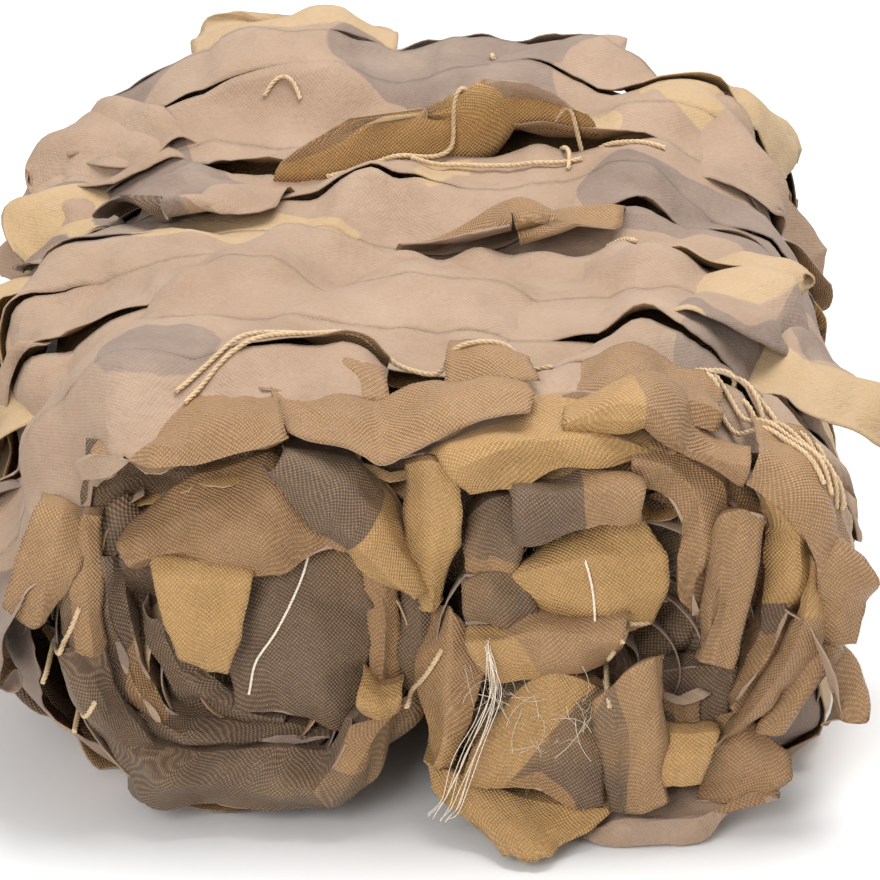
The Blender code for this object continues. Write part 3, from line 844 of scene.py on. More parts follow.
# Leaves and folded strips, each listed as a net of points (x, z, depth) in millimetres: rows from one edge of
# the cloth to the other, then its tone or tones, the side shown, and how far the first and last rows turn in
# behind.
PANELS = (
    ("left_outer_band",
     (((-98, 52, 12), (-89, 37, 8), (-82, 27, 6), (-71, 8, 5), (-49, 4.5, 4), (-20, 7, 5), (-12, 16, 6),
       (-3, 35, 9)),
      ((-92, 54, 6), (-86, 42, -2), (-78, 27, 3), (-66, 17, -5), (-48, 15, 2), (-26, 15, -5),
       (-16, 25, 2), (-6, 36, 5)),
      ((-84, 54, 7), (-81, 43, 4), (-70, 25, 4), (-56, 23, 4), (-40, 24, 5), (-24, 25, 5), (-18, 33, 5),
       (-9, 38, 8))),
     "grey", "coated", (30, 14)),
    ("left_low_fold",
     (((-18, 9, 8), (-9, 23, 8), (0, 37, 10)),
      ((-23, 10, -2), (-14, 23, -3), (-4, 36, 3)),
      ((-27, 15, -3), (-21, 26, -4), (-17, 34, 0))),
     ("earth", "brown"), "coated", (18, 8)),
    ("left_second_band",
     (((-85, 80, 14), (-86, 62, 11), (-83, 43, 9), (-72, 26, 9), (-56, 22, 10), (-40, 22, 11),
       (-25, 23, 10)),
      ((-81, 79, 8), (-81, 63, 5), (-77, 47, 3), (-68, 31, 3), (-54, 26, 4), (-38, 26, 5), (-23, 27, 6)),
      ((-77, 78, 12), (-74, 62, 10), (-69, 47, 9), (-64, 36, 9), (-51, 30, 10), (-37, 29, 11),
       (-22, 30, 12))),
     ("earth", "grey"), "coated", (10, 14)),
    ("left_third_band",
     (((-72, 62, 14), (-69, 48, 12), (-63, 36, 12), (-50, 30, 12), (-36, 30, 12)),
      ((-68, 61, 8), (-64, 48, 6), (-56, 38, 6), (-47, 33, 7), (-35, 31, 9)),
      ((-65, 58, 11), (-58, 47, 10), (-50, 40, 10), (-43, 34, 10), (-34, 33, 12))),
     "grey", "coated", (8, 12)),
    ("left_heart",
     (((-50, 71, 9), (-40, 77, 8), (-28, 81, 9), (-16, 78, 13)),
      ((-52, 60, 4), (-40, 66, 1), (-27, 67, 0), (-9, 63, 9)),
      ((-50, 47, 4), (-40, 49, 1), (-26, 48, 1), (-11, 47, 9)),
      ((-47, 34, 8), (-36, 32, 6), (-26, 30, 6), (-17, 28, 9))),
     "grey", "coated", (10, 16)),
    ("left_tan_leaf",
     (((-66, 80, 9), (-56, 78, 8), (-44, 77, 8)),
      ((-69, 82, 2), (-57, 80, 1), (-42, 79, 2)),
      ((-69, 78, -2), (-57, 76, -4), (-42, 76, -2)),
      ((-66, 66, -3), (-57, 64, -5), (-45, 63, -4)),
      ((-62, 54, 0), (-56, 51, -2), (-49, 49, -3))),
     "tan", "coated", (0, 0)),
    ("left_weave_top",
     (((-74, 84, 16), (-59, 98, 15), (-38, 106, 14), (-20, 96, 14)),
      ((-77, 81, 6), (-58, 93, 6), (-38, 97, 5), (-18, 90, 8)),
      ((-75, 79, 2), (-56, 83, 0), (-40, 86, -1), (-17, 85, 5)),
      ((-73, 77, 6), (-55, 78, 2), (-40, 76, 0), (-16, 81, 6))),
     "brown", "coated", (12, 9)),
    ("left_right_band",
     (((-34, 110, 8), (-16, 102, 7), (-6, 91, 7), (5, 69, 9)),
      ((-35, 109, 1), (-18, 101, 0), (-8, 91, 0), (3, 70, 3)),
      ((-37, 106, -1), (-21, 95, -3), (-12, 83, -3), (0, 69, 0)),
      ((-39, 103, 3), (-24, 87, 1), (-16, 77, 1), (-3, 67, 3))),
     ("grey", "tan"), "coated", (16, 14)),
    ("left_strip_near",
     (((-15, 76, 10), (-9, 75, 6), (-4, 72, 11)),
      ((-13, 60, 9), (-7, 59, 5), (-2, 57, 11)),
      ((-12, 43, 9), (-8, 41, 6), (-3, 40, 11))),
     "brown", "coated", (10, 8)),
    ("left_strip_far",
     (((-4, 70, 15), (1, 70, 11), (6, 69, 13)),
      ((-3, 54, 15), (2, 53, 11), (6, 51, 14)),
      ((-4, 40, 13), (0, 38, 10), (4, 36, 13))),
     "earth", "coated", (10, 8)),
    ("left_curl",
     (((-15, 45, 6), (-9, 42, 3), (-3, 44, 5)),
      ((-16, 43, -1), (-9, 40, -3), (-3, 42, 0)),
      ((-14, 38, 1), (-9, 36, -1), (-4, 37, 2))),
     "tan", "coated", (6, 5)),
    ("left_hanging_flap",
     (((-98, 92, 12), (-92, 92, 6), (-86, 88, 9)),
      ((-104, 79, 6), (-96, 77, 1), (-88, 78, 6)),
      ((-108, 66, 5), (-99, 59, 2), (-91, 71, 6))),
     "brown", "coated", (8, 0)),
    ("left_hanging_strip",
     (((-90, 89, 9), (-86, 91, 6), (-82, 89, 10)),
      ((-94, 72, 7), (-87, 71, 2), (-83, 72, 8)),
      ((-93, 57, 7), (-87, 51, 3), (-84, 56, 9))),
     ("earth", "brown"), "coated", (8, 6)),
    ("right_heart",
     (((27, 76, 10), (35, 81, 8), (46, 85, 8), (60, 86, 10)),
      ((24, 74, 6), (34, 78, 1), (48, 82, 0), (66, 80, 7)),
      ((28, 68, 5), (38, 70, 0), (50, 72, -1), (66, 71, 6)),
      ((35, 60, 7), (42, 61, 4), (52, 60, 3), (62, 62, 8))),
     "tan", "coated", (10, 10)),
    ("right_top_strip",
     (((26, 100, 9), (43, 103, 9), (58, 103, 10)),
      ((25, 101, 2), (43, 104, 1), (60, 103, 2)),
      ((25, 99, -2), (43, 102, -4), (60, 101, -2)),
      ((25, 92, -3), (43, 96, -5), (59, 97, -3)),
      ((25, 86, -1), (43, 90, -2), (59, 93, -1))),
     ("earth", "brown"), "coated", (12, 3)),
    ("right_top_band",
     (((25, 99, 20), (40, 105, 18), (58, 107, 18)),
      ((24, 98, 9), (40, 106, 8), (56, 108, 8)),
      ((26, 95, 9), (42, 99, 8), (58, 100, 8))),
     "brown", "coated", (10, 6)),
    ("right_curved_band",
     (((56, 109, 12), (70, 108, 10), (81, 99, 9), (82, 85, 8), (77, 69, 8), (75, 62, 8)),
      ((56, 107, 4), (66, 106, 2), (74, 97, 1), (76, 85, 1), (73, 72, 2), (74, 63, 4)),
      ((57, 101, 8), (63, 97, 5), (68, 88, 4), (69, 78, 4), (70, 67, 5), (73, 61, 6))),
     "brown", "coated", (14, 12)),
    ("right_standing",
     (((76, 87, 8), (79, 94, 0), (85, 96, -3), (91, 94, -1)),
      ((75, 70, 8), (77, 73, -2), (82, 74, -6), (88, 72, -3)),
      ((73, 55, 8), (73, 52, 0), (78, 52, -4), (84, 49, -1))),
     "brown", "coated", (5, 3)),
    ("right_outer_band",
     (((93, 100, 14), (105, 87, 12), (107, 74, 10), (103, 63, 8), (98, 51, 6), (86, 34, 6)),
      ((91, 99, 6), (99, 89, 3), (100, 76, 2), (98, 64, 1), (93, 52, 0), (83, 37, 1)),
      ((90, 94, 9), (91, 85, 7), (91, 73, 6), (90, 60, 6), (87, 48, 6), (81, 38, 6))),
     ("tan", "brown"), "coated", (16, 14)),
    ("right_lip",
     (((109, 79, 8), (107, 62, 6), (101, 49, 4), (92, 37, 3), (82, 25, 3), (70, 15, 4)),
      ((104, 79, 3), (102, 63, 1), (97, 50, -1), (88, 37, -2), (79, 28, -2), (69, 20, 0))),
     ("sand", "brown"), "coated", (20, 8)),
    ("right_tuft",
     (((80, 34, 8), (87, 36, 5), (92, 30, 7)),
      ((78, 26, 3), (88, 27, 0), (98, 25, 3)),
      ((76, 17, 2), (87, 18, -2), (100, 18, 1)),
      ((75, 8, 3), (85, 9, 0), (95, 12, 3))),
     "brown", "coated", (8, 3)),
    ("right_bottom_band",
     (((36, 3, 4), (56, 9, 2), (77, 11, 3), (93, 14, 6)),
      ((34, 2.5, -2), (56, 8, -5), (76, 9, -4), (97, 15, 2)),
      ((33, 1, -3), (58, 1.5, -6), (75, 2, -3), (95, 10, 5))),
     "brown", "printed", (12, 10)),
    ("right_dark_leaf",
     (((19, 36, 5), (26, 44, 2), (35, 49, 0), (44, 46, 0), (52, 41, 2)),
      ((15, 28, 2), (25, 32, -3), (34, 33, -5), (43, 30, -4), (51, 28, -2)),
      ((12, 18, 2), (22, 17, -3), (32, 15, -5), (42, 11, -4), (50, 13, -1))),
     "mixed", "coated", (10, 3)),
    ("right_brown_leaf",
     (((46, 42, -3), (52, 48, -8), (58, 54, -10), (63, 57, -9), (66, 55, -2)),
      ((47, 32, -4), (52, 36, -10), (59, 38, -12), (64, 38, -9), (67, 36, -2)),
      ((49, 18, -3), (53, 18, -9), (59, 18, -11), (65, 21, -8), (67, 20, -1)),
      ((51, 10, -2), (54, 10, -7), (60, 11, -9), (66, 14, -7), (67, 14, -1))),
     ("earth", "brown"), "coated", (3, 0)),
    ("right_left_strip",
     (((13, 88, 10), (20, 95, 6), (27, 96, 8)),
      ((12, 82, 6), (20, 86, 2), (29, 86, 5)),
      ((14, 72, 5), (19, 74, 2), (26, 75, 4))),
     "earth", "coated", (10, 4)),
    ("right_left_patch",
     (((12, 72, 6), (20, 75, 3), (28, 76, 4)),
      ((12, 66, 2), (20, 69, -1), (31, 69, 1)),
      ((14, 59, 2), (22, 61, 0), (33, 61, 2))),
     "grey", "coated", (5, 3)),
    ("right_cross_strip",
     (((14, 60, 4), (30, 64, 1), (44, 64, 1), (56, 63, 3)),
      ((13, 58, -2), (30, 62, -5), (44, 61, -5), (54, 61, -2)),
      ((18, 50, -1), (30, 53, -4), (42, 54, -4), (52, 54, 0)),
      ((21, 45, 1), (31, 46, 0), (42, 48, 0), (50, 50, 2))),
     ("sand", "brown"), "coated", (5, 4)),
    ("right_low_strip",
     (((4, 63, 12), (3, 51, 10), (2, 39, 9), (3, 25, 8), (5, 15, 8)),
      ((9, 65, 4), (9, 53, 2), (8, 41, 1), (8, 30, 1), (6, 21, 2)),
      ((14, 60, 5), (19, 53, 4), (18, 45, 3), (15, 35, 3), (9, 21, 4))),
     ("brown", "sand"), "coated", (20, 8)),
    ("right_tan_flap",
     (((3, 22, 6), (12, 18, 2), (26, 15, -2), (42, 11, -4), (52, 9, -3)),
      ((5, 14, 2), (15, 13, -4), (27, 10, -8), (38, 8, -9), (46, 6, -8)),
      ((14, 9, -4), (20, 8, -10), (27, 6, -14), (33, 5, -14), (38, 4, -12)),
      ((22, 4, -10), (25, 3, -16), (29, 2, -20), (32, 2, -19), (35, 2, -16))),
     "tan", "coated", (20, 0)),
    ("right_inside_far",
     (((64, 44, 14), (74, 47, 10), (84, 44, 11)),
      ((64, 31, 12), (74, 32, 7), (83, 32, 10)),
      ((62, 20, 10), (72, 21, 6), (80, 24, 9))),
     "grey", "coated", (8, 6)),
    ("right_inside_near",
     (((64, 42, 6), (70, 40, 3), (77, 42, 7)),
      ((66, 30, 5), (70, 28, 2), (76, 31, 6))),
     ("earth", "brown"), "coated", (9, 8)),
    ("right_gold_fold",
     (((62, 33, 0), (70, 32, -4), (80, 31, -2)),
      ((64, 27, -5), (71, 28, -9), (78, 28, -6)),
      ((64, 19, -3), (70, 20, -6), (75, 20, -4))),
     "tan", "coated", (6, 4)),
    ("right_side_flap",
     (((104, 84, 6), (110, 83, 3), (113, 78, 6)),
      ((105, 71, 4), (114, 72, 1), (122, 74, 5)),
      ((104, 58, 6), (111, 56, 4), (116, 56, 6))),
     "brown", "coated", (6, 2)),
    ("right_side_fold",
     (((103, 51, 8), (108, 53, 5), (113, 51, 8)),
      ((97, 40, 6), (102, 41, 3), (107, 44, 6)),
      ((90, 31, 5), (96, 31, 3), (100, 34, 6))),
     "brown", "coated", (6, 2)),
    ("middle_arch",
     (((4, 104, 10), (16, 112, 10), (30, 117, 12), (46, 115, 14), (64, 108, 16)),
      ((8, 106, 0), (20, 112, -1), (34, 114, 2), (50, 113, 6), (66, 108, 10)),
      ((14, 99, 2), (25, 100, 0), (38, 105, 2), (54, 108, 6), (68, 107, 10))),
     "tan", "coated", (14, 8)),
    ("middle_wing",
     (((-3, 104, 10), (4, 107, 2), (12, 105, 1)),
      ((-3, 88, 10), (4, 90, 0), (12, 91, 2)),
      ((-1, 74, 10), (4, 76, 1), (9, 77, 5)),
      ((1, 62, 9), (5, 63, 3), (8, 65, 8))),
     "tan", "coated", (4, 3)),
    ("middle_weave_flap",
     (((-38, 119, 24), (-25, 117, 22), (-11, 116, 20), (-5, 118, 22), (5, 121, 25), (18, 122, 26),
       (30, 120, 25)),
      ((-36, 119, 15), (-22, 116, 12), (-9, 113, 10), (-2, 115, 10), (6, 118, 12), (19, 121, 15),
       (31, 121, 18)),
      ((-33, 115, 6), (-18, 112, 3), (-8, 107, -1), (0, 111, 0), (5, 113, 2), (18, 117, 6),
       (30, 118, 12))),
     "brown", "coated", (0, 0)),
    ("left_weave_flap",
     (((-80, 108, 26), (-66, 115, 34), (-54, 119, 40), (-44, 120, 42), (-38, 119, 38)),
      ((-85, 107, 14), (-70, 113, 18), (-56, 117, 20), (-44, 118, 20), (-36, 117, 20)),
      ((-88, 103, 4), (-72, 108, 3), (-56, 107, 0), (-44, 111, 0), (-33, 114, 4))),
     "brown", "coated", (0, 3)),
    ("middle_top_flap",
     (((-50, 120, 44), (-36, 121.5, 50), (-22, 122, 52), (-12, 121, 48)),
      ((-46, 120, 32), (-32, 122, 36), (-18, 121, 36), (-9, 120, 34)),
      ((-40, 119, 22), (-28, 118, 22), (-17, 117, 22), (-7, 116, 24))),
     "brown", "coated", (0, 0)),
    ("middle_right_flap",
     (((9, 121, 50), (17, 122, 50), (26, 121, 46)),
      ((8, 120, 38), (18, 122, 38), (29, 120, 36)),
      ((7, 118, 28), (19, 119, 28), (33, 119, 25))),
     "brown", "coated", (0, 0)),
    ("right_curl_leaf",
     (((36, 119, 42), (50, 122, 46), (64, 123, 48), (75, 120, 42), (82, 115, 32)),
      ((37, 119, 30), (50, 122, 32), (61, 122, 33), (71, 118, 28), (80, 114, 22)),
      ((37, 118, 18), (48, 119, 18), (58, 119, 18), (68, 117, 16), (80, 113, 14))),
     "brown", "coated", (0, 3)),
    ("right_gold_lip",
     (((38, 118, 16), (50, 121, 16), (61, 122, 14), (67, 118, 12), (73, 113, 9), (88, 108, 8)),
      ((38, 116, 7), (50, 119, 7), (61, 120, 5), (66, 115, 3), (72, 109, 1), (87, 105, 1)),
      ((38, 112, 8), (50, 115, 8), (60, 117, 7), (64, 112, 5), (71, 106, 4), (86, 101, 4))),
     ("tan", "brown"), "coated", (6, 8)),
    ("right_shoulder_band",
     (((89, 109, 16), (102, 104, 16), (111, 94, 14), (115, 82, 14), (114, 68, 14)),
      ((88, 107, 6), (99, 101, 4), (107, 92, 3), (111, 81, 3), (110, 68, 4)),
      ((86, 102, 4), (96, 96, 2), (102, 88, 1), (106, 80, 2), (106, 68, 4))),
     "brown", "coated", (18, 6)),
)
# The crumpled cloth behind them that closes each end.
FILLS = (
    ("left_fill",
     (((-86, 106, 22), (-44, 112, 20), (-2, 100, 22)),
      ((-92, 58, 20), (-44, 58, 17), (0, 56, 20)),
      ((-72, 12, 22), (-44, 8, 20), (-10, 18, 22)))),
    ("right_fill",
     (((14, 104, 22), (52, 114, 20), (98, 100, 22)),
      ((6, 58, 20), (52, 58, 17), (104, 58, 20)),
      ((14, 14, 22), (52, 6, 20), (88, 18, 22)))),
)
for number, (name, net) in enumerate(FILLS):
    panel("fold_" + name, net, "grey", 60 + number, crumple=2.6)
    panel("fold_back_" + name, net, "grey", 70 + number, crumple=2.6, back=True)
# Folds that stand for a leaf of the CAD.
STANDS_FOR = {"middle_weave_flap": "leaf_top_front", "left_weave_flap": "leaf_left_shoulder",
              "right_shoulder_band": "leaf_right_shoulder"}
for number, (name, net, tone, shown, tuck) in enumerate(PANELS):
    replaced = (STANDS_FOR[name],) if name in STANDS_FOR else ()
    panel("fold_" + name, net, tone, 100 + number, shown, tuck, replaced=replaced)
    panel("fold_back_" + name, net, tone, 300 + number, shown, tuck, back=True)


# ---- Leaves cut in the outer cloth -------------------------------------------------------------
# Tongues left by the curved cuts: each stays joined to the cloth at its root, and its free end
# lifts off the bundle and curls. A leaf that the CAD has too stands for that one.
LEAF_STEP = 0.0019
# Each leaf: across and behind the front end, heading (0 is forwards, 90 to the right), length,
# width, lift at the root, further turn to the tip, tone, side shown, how pointed it is.
LEAVES = (
    ("left_front_tip", -136, 30, -62, 36, 50, 12, 2, "earth", "printed", 1.4),
    ("left_middle", -122, 120, -80, 40, 60, 14, 10, "tan", "printed", 1.8),
    ("left_back", -104, 240, -92, 34, 60, 12, -10, "brown", "printed", 1.6),
    ("right_front_tip", 140, 24, 66, 34, 48, 14, 10, "brown", "coated", 1.2),
    ("right_middle", 134, 130, 84, 38, 52, 12, 8, "tan", "printed", 2.0),
    ("right_lobe", 92, 88, 88, 42, 46, 40, -6, "sand", "printed", 1.8),
    ("left_lobe", -112, 176, -84, 34, 54, 26, 0, "sand", "printed", 1.6),
    ("right_back", 102, 236, 94, 34, 54, 18, -16, "brown", "printed", 1.8),
    ("back_right_corner", 80, 282, 104, 34, 52, 36, -50, "tan", "printed", 1.6),
    ("back_top_left", -41, 296, 176, 32, 58, 26, -34, "tan", "printed", 1.7),
    ("back_top_right", 32, 298, 172, 30, 50, 26, -36, "brown", "printed", 1.5),
    ("top_opening", 24, 170, 4, 30, 66, 24, -26, "brown", "coated", 1.2),
    ("opening_back", 2, 217, 3, 15, 88, 64, 34, "sand", "printed", 1.5),
    ("top_left_crest", -66, 206, -16, 34, 56, 16, -24, "earth", "printed", 1.6),
)


def surface_of(prefix):
    """The surface of every piece whose name starts so."""
    points, faces = [], []
    for piece in bpy.data.objects:
        if piece.name.startswith(prefix):
            faces += [tuple(k + len(points) for k in p.vertices) for p in piece.data.polygons]
            points += [v.co for v in piece.data.vertices]
    return BVHTree.FromPolygons(points, faces)


TOP = surface_of("outer_cloth")


def lie_of(s, y):
    """How high the outer cloth stands over the wrap, evened out as a leaf lying on it would."""
    points, normals = wrap(s, y)
    rise = np.zeros(s.shape)
    for k, (point, normal) in enumerate(zip(points.reshape(-1, 3), normals.reshape(-1, 3))):
        point, normal = Vector(point.tolist()), Vector(normal.tolist())
        hit = TOP.ray_cast(point + normal * 0.035, -normal, 0.06)[0]
        above = rise.flat[k - s.shape[1]] if k >= s.shape[1] else 0.002
        rise.flat[k] = (hit - point).dot(normal) if hit else above
    for _ in range(6):
        rise[1:-1] = np.maximum(rise[1:-1], (rise[:-2] + rise[2:]) / 2)
        rise[:, 1:-1] = np.maximum(rise[:, 1:-1], (rise[:, :-2] + rise[:, 2:]) / 2)
    return rise


def leaf(name, across, along, heading, length, width, lift, curl, tone, shown, blunt, seed):
    """One tongue of cloth, bent as its lift and curl say, laid on the outer cloth."""
    rng = np.random.default_rng(seed)
    a = np.linspace(0, 1, int(length * MM / LEAF_STEP) + 2)[:, None]
    b = np.linspace(-1, 1, int(width * MM / LEAF_STEP) + 2)[None, :]
    half = width * MM / 2 * (1 - a ** (2 * blunt)) ** 0.5 + 0.0012
    v = b * half * (1 + 0.05 * waves(a * length * MM, 0 * a, rng, 0.012))
    reach = length * MM * (1 + 0.07 * waves(b * width * MM, 0 * b, rng, 0.02)) * np.ones_like(a)
    turn = np.radians(lift + curl * a + 8 * waves(v, 0 * v, rng, 0.018))
    out = np.cumsum(np.sin(turn) * reach, axis=0) / len(a)
    ahead = np.cumsum(np.cos(turn) * reach, axis=0) / len(a)
    way = math.radians(heading)
    s = across * MM + math.sin(way) * ahead + math.cos(way) * v
    y = FRONT + along * MM - math.cos(way) * ahead + math.sin(way) * v
    run = reach * a
    relief = np.maximum(creases(v, run, rng, 0.014, 0.0014) + facets(v, run, rng, 3, 0.026, 0.14), -0.0006)
    lowest = -0.04 * smooth((FRONT - y) / 0.006)
    root = 0.0016 * smooth(a * 4) - 0.002 * (1 - smooth(a * 5))
    height = lie_of(s, y) + np.maximum(out, lowest) + root + relief * smooth(a * 3)
    points, _ = wrap(s, y, height)
    tan, grey = print_of(v, run, rng, BIAS[tone])
    cut = np.stack(laid_flat(points), axis=-1)
    slot = SLOT_OF.get(tone, "cloth_brown")
    replaced = ("leaf_" + name,) if "leaf_" + name in frame["nodes"] else ()
    cloth_piece("leaf_cloth_" + name, points, cut, tan, grey, slot, replaced, flip=shown == "printed")


for number, row in enumerate(LEAVES):
    leaf(*row, seed=700 + number)

# Smaller tongues all over the shoulders and sides, at random places.
SCATTERED = 34
SIDE_TONES = ("brown", "tan", "earth", "brown", "mixed", "brown")
scatter = np.random.default_rng(77)
for number in range(SCATTERED):
    side = (-1, 1)[number % 2]
    across = side * scatter.uniform(62, 178) + 4
    along = scatter.uniform(44, 300)
    heading = side * scatter.uniform(55, 115)
    length, width = scatter.uniform(24, 38), scatter.uniform(34, 60)
    lift, curl = scatter.uniform(4, 14), scatter.uniform(-18, 10)
    tone = scatter.choice(SIDE_TONES)
    blunt = scatter.uniform(1.1, 2.2)
    leaf(f"side_{number + 1}", across, along, heading, length, width, lift, curl, tone, "printed", blunt,
         800 + number)


# ---- Netting twine ---------------------------------------------------------------------------
# The cloth is tied to a net of three-strand twine about 1.6 mm thick. Short runs of it cross the
# cuts and hang out at the ends. A node group twists three strands round each path.
CORD_TONE = (0.58, 0.42, 0.25, 1)
STITCH_TONE = (0.80, 0.70, 0.56, 1)


def plain_thread(name, tone, rough):
    material, tree, shader = new_material(name)
    place = node(tree, "ShaderNodeTexCoord", output=3)
    speck = node(tree, "ShaderNodeTexNoise", Vector=place, Scale=900.0, Detail=2.0)
    colour = node(tree, "ShaderNodeVectorMath", {"operation": "SCALE"}, Vector=tone[:3],
                  Scale=speck * 0.7 + 0.62)
    connect(tree, shader.inputs["Base Color"], colour)
    shader.inputs["Roughness"].default_value = rough
    return material


cord_finish = plain_thread("netting_twine", CORD_TONE, 0.75)
stitch_finish = plain_thread("stitch_thread", STITCH_TONE, 0.6)


def vectors(tree, operation, first, second):
    made = tree.nodes.new("ShaderNodeVectorMath")
    made.operation = operation
    connect(tree, made.inputs[0], first)
    connect(tree, made.inputs[1], second)
    return Shade(tree, made.outputs[0])


def new_group(name, numbers):
    """A geometry node group with a geometry, some numbers and a finish going in."""
    tree = bpy.data.node_groups.new(name, "GeometryNodeTree")
    tree.interface.new_socket("Geometry", in_out="INPUT", socket_type="NodeSocketGeometry")
    for number in numbers:
        tree.interface.new_socket(number, in_out="INPUT", socket_type="NodeSocketFloat")
    tree.interface.new_socket("Finish", in_out="INPUT", socket_type="NodeSocketMaterial")
    tree.interface.new_socket("Geometry", in_out="OUTPUT", socket_type="NodeSocketGeometry")
    given = tree.nodes.new("NodeGroupInput")
    return tree, {socket.name: Shade(tree, socket) for socket in given.outputs if socket.name}


def close_group(tree, shape, finish):
    """Ends the group: everything real, and with its finish."""
    real = node(tree, "GeometryNodeRealizeInstances", Geometry=shape)
    painted = node(tree, "GeometryNodeSetMaterial", Geometry=real, Material=finish)
    connect(tree, tree.nodes.new("NodeGroupOutput").inputs[0], painted)


def twine_group():
    tree, given = new_group("twisted_twine", ("Offset", "Pitch", "Strand"))
    path = node(tree, "GeometryNodeMeshToCurve", Mesh=given["Geometry"])
    line = node(tree, "GeometryNodeResampleCurve", {"mode": "LENGTH"}, Curve=path, Length=0.0007)
    length = node(tree, "GeometryNodeSplineParameter", output=1)
    normal = node(tree, "GeometryNodeInputNormal")
    side = vectors(tree, "CROSS_PRODUCT", node(tree, "GeometryNodeInputTangent"), normal)
    round_wire = node(tree, "GeometryNodeCurvePrimitiveCircle", Resolution=5, Radius=given["Strand"])
    joined = tree.nodes.new("GeometryNodeJoinGeometry")
    for strand in range(3):
        angle = length * (2 * math.pi) / given["Pitch"] + strand * 2 * math.pi / 3
        first = node(tree, "ShaderNodeVectorMath", {"operation": "SCALE"}, Vector=normal,
                     Scale=angle.math("COSINE") * given["Offset"])
        second = node(tree, "ShaderNodeVectorMath", {"operation": "SCALE"}, Vector=side,
                      Scale=angle.math("SINE") * given["Offset"])
        twist = vectors(tree, "ADD", first, second)
        moved = node(tree, "GeometryNodeSetPosition", Geometry=line, Offset=twist)
        tube = node(tree, "GeometryNodeCurveToMesh", Curve=moved, Profile_Curve=round_wire, Fill_Caps=True)
        tree.links.new(tube.socket, joined.inputs[0])
    close_group(tree, Shade(tree, joined.outputs[0]), given["Finish"])
    return tree


def grown(name, points, group, values, finish, replaced=()):
    """A piece grown along a path by a node group, as plain mesh."""
    mesh = bpy.data.meshes.new(name)
    points = [(x, y, max(z, 0.0012)) for x, y, z in points]
    mesh.from_pydata(points, [(k, k + 1) for k in range(len(points) - 1)], [])
    piece = bpy.data.objects.new(name, mesh)
    bpy.context.scene.collection.objects.link(piece)
    grow = piece.modifiers.new("grow", "NODES")
    grow.node_group = group
    sockets = {item.name: item.identifier for item in group.interface.items_tree if item.in_out == "INPUT"}
    for key, value in (*values.items(), ("Finish", finish)):
        grow[sockets[key]] = value
    piece.data = bpy.data.meshes.new_from_object(piece.evaluated_get(bpy.context.evaluated_depsgraph_get()))
    piece.modifiers.clear()
    piece.data.polygons.foreach_set("use_smooth", [True] * len(piece.data.polygons))
    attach(piece, "root")
    if replaced:
        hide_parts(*replaced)
    return piece


twisted = twine_group()


def curved(points, step=0.0012):
    """A smooth line through the given points."""
    line, _ = even(points, step, 12)
    return line


def twine(name, points, thick, replaced=(), finish=cord_finish):
    """Three strands twisted round a path."""
    radius = thick * MM / 2
    values = {"Offset": radius * 0.50, "Pitch": radius * 6.5, "Strand": radius * 0.54}
    return grown(name, curved(points), twisted, values, finish, replaced)


covered = surface_of(("outer_cloth", "leaf_cloth", "fold_"))


def on_top(places):
    """Points on the cloth, from across, behind the front end and height over the cloth."""
    found = []
    close, _ = even(places, 2.5, 2)
    for across, along, up in close:
        point, normal = wrap(across * MM, FRONT + along * MM)
        point, normal = Vector(point.tolist()), Vector(normal.tolist())
        hit = covered.ray_cast(point + normal * 0.03, -normal, 0.05)[0]
        found.append((hit if hit else point) + normal * up * MM)
    return found


def in_front(places):
    """Points before the folds of the front end, from x, z and distance before them."""
    tree = surface_of("fold_")
    found = []
    close, _ = even(places, 1.5, 2)
    for x, z, before in close:
        hit = tree.ray_cast(Vector((x * MM, FRONT - 0.06, z * MM)), Vector((0, 1, 0)), 0.12)[0]
        y = hit.y if hit else FRONT
        found.append(Vector((x * MM, y - before * MM, z * MM)))
    return found


TWINE_THICK = 1.5
# Runs over the top: name, points (across, behind the front end, height), the CAD cord it stands for.
TOP_CORDS = (
    ("front_1", ((-64, 26, 1), (-52, 38, 1), (-30, 46, 1), (-12, 50, 1), (10, 43, 1.2), (34, 42, 1)),
     ("net_cord_front",)),
    ("front_2", ((-66, 30, 1), (-50, 42, 1.2), (-28, 50, 1), (-12, 54, 0.6)), ()),
    ("middle_1", ((-30, 212, 1.5), (-6, 208, 2), (16, 216, 2.5), (30, 222, 1.6), (46, 216, 1)),
     ("net_cord_middle_near",)),
    ("middle_2", ((-4, 202, 1.5), (14, 205, 2), (30, 203, 2), (46, 202, 1)), ("net_cord_middle_far",)),
    ("middle_3", ((40, 216, 2), (43, 208, 3), (42, 198, 1)), ()),
    ("middle_4", ((50, 216, 1), (58, 211, 1.4), (68, 208, 1)), ()),
    ("right_1", ((72, 54, 1), (86, 42, 1.4), (99, 30, 1.2), (112, 16, 1)), ("net_cord_right_near",)),
    ("right_2", ((74, 58, 1), (88, 46, 1.6), (101, 34, 1.4), (115, 20, 1)), ("net_cord_right_far",)),
    ("right_3", ((70, 50, 0.8), (84, 38, 1.2), (96, 27, 1.2), (108, 13, 1)), ()),
    ("right_4", ((78, 60, 1), (91, 49, 1.6), (104, 37, 1.4), (117, 25, 1)), ()),
    ("right_5", ((68, 47, 0.8), (80, 36, 1.2), (93, 25, 1.2), (104, 12, 1)), ()),
    ("slit_1", ((52, 150, 1), (55, 144, 1.6), (59, 137, 1)), ()),
    ("slit_2", ((22, 284, 1), (22, 277, 1.5), (23, 269, 1)), ()),
    ("loop", ((-50, 262, 1), (-46, 267, 2), (-41, 266, 2), (-39, 260, 1)), ()),
)
for name, places, replaced in TOP_CORDS:
    twine("twine_" + name, on_top(places), TWINE_THICK, replaced)

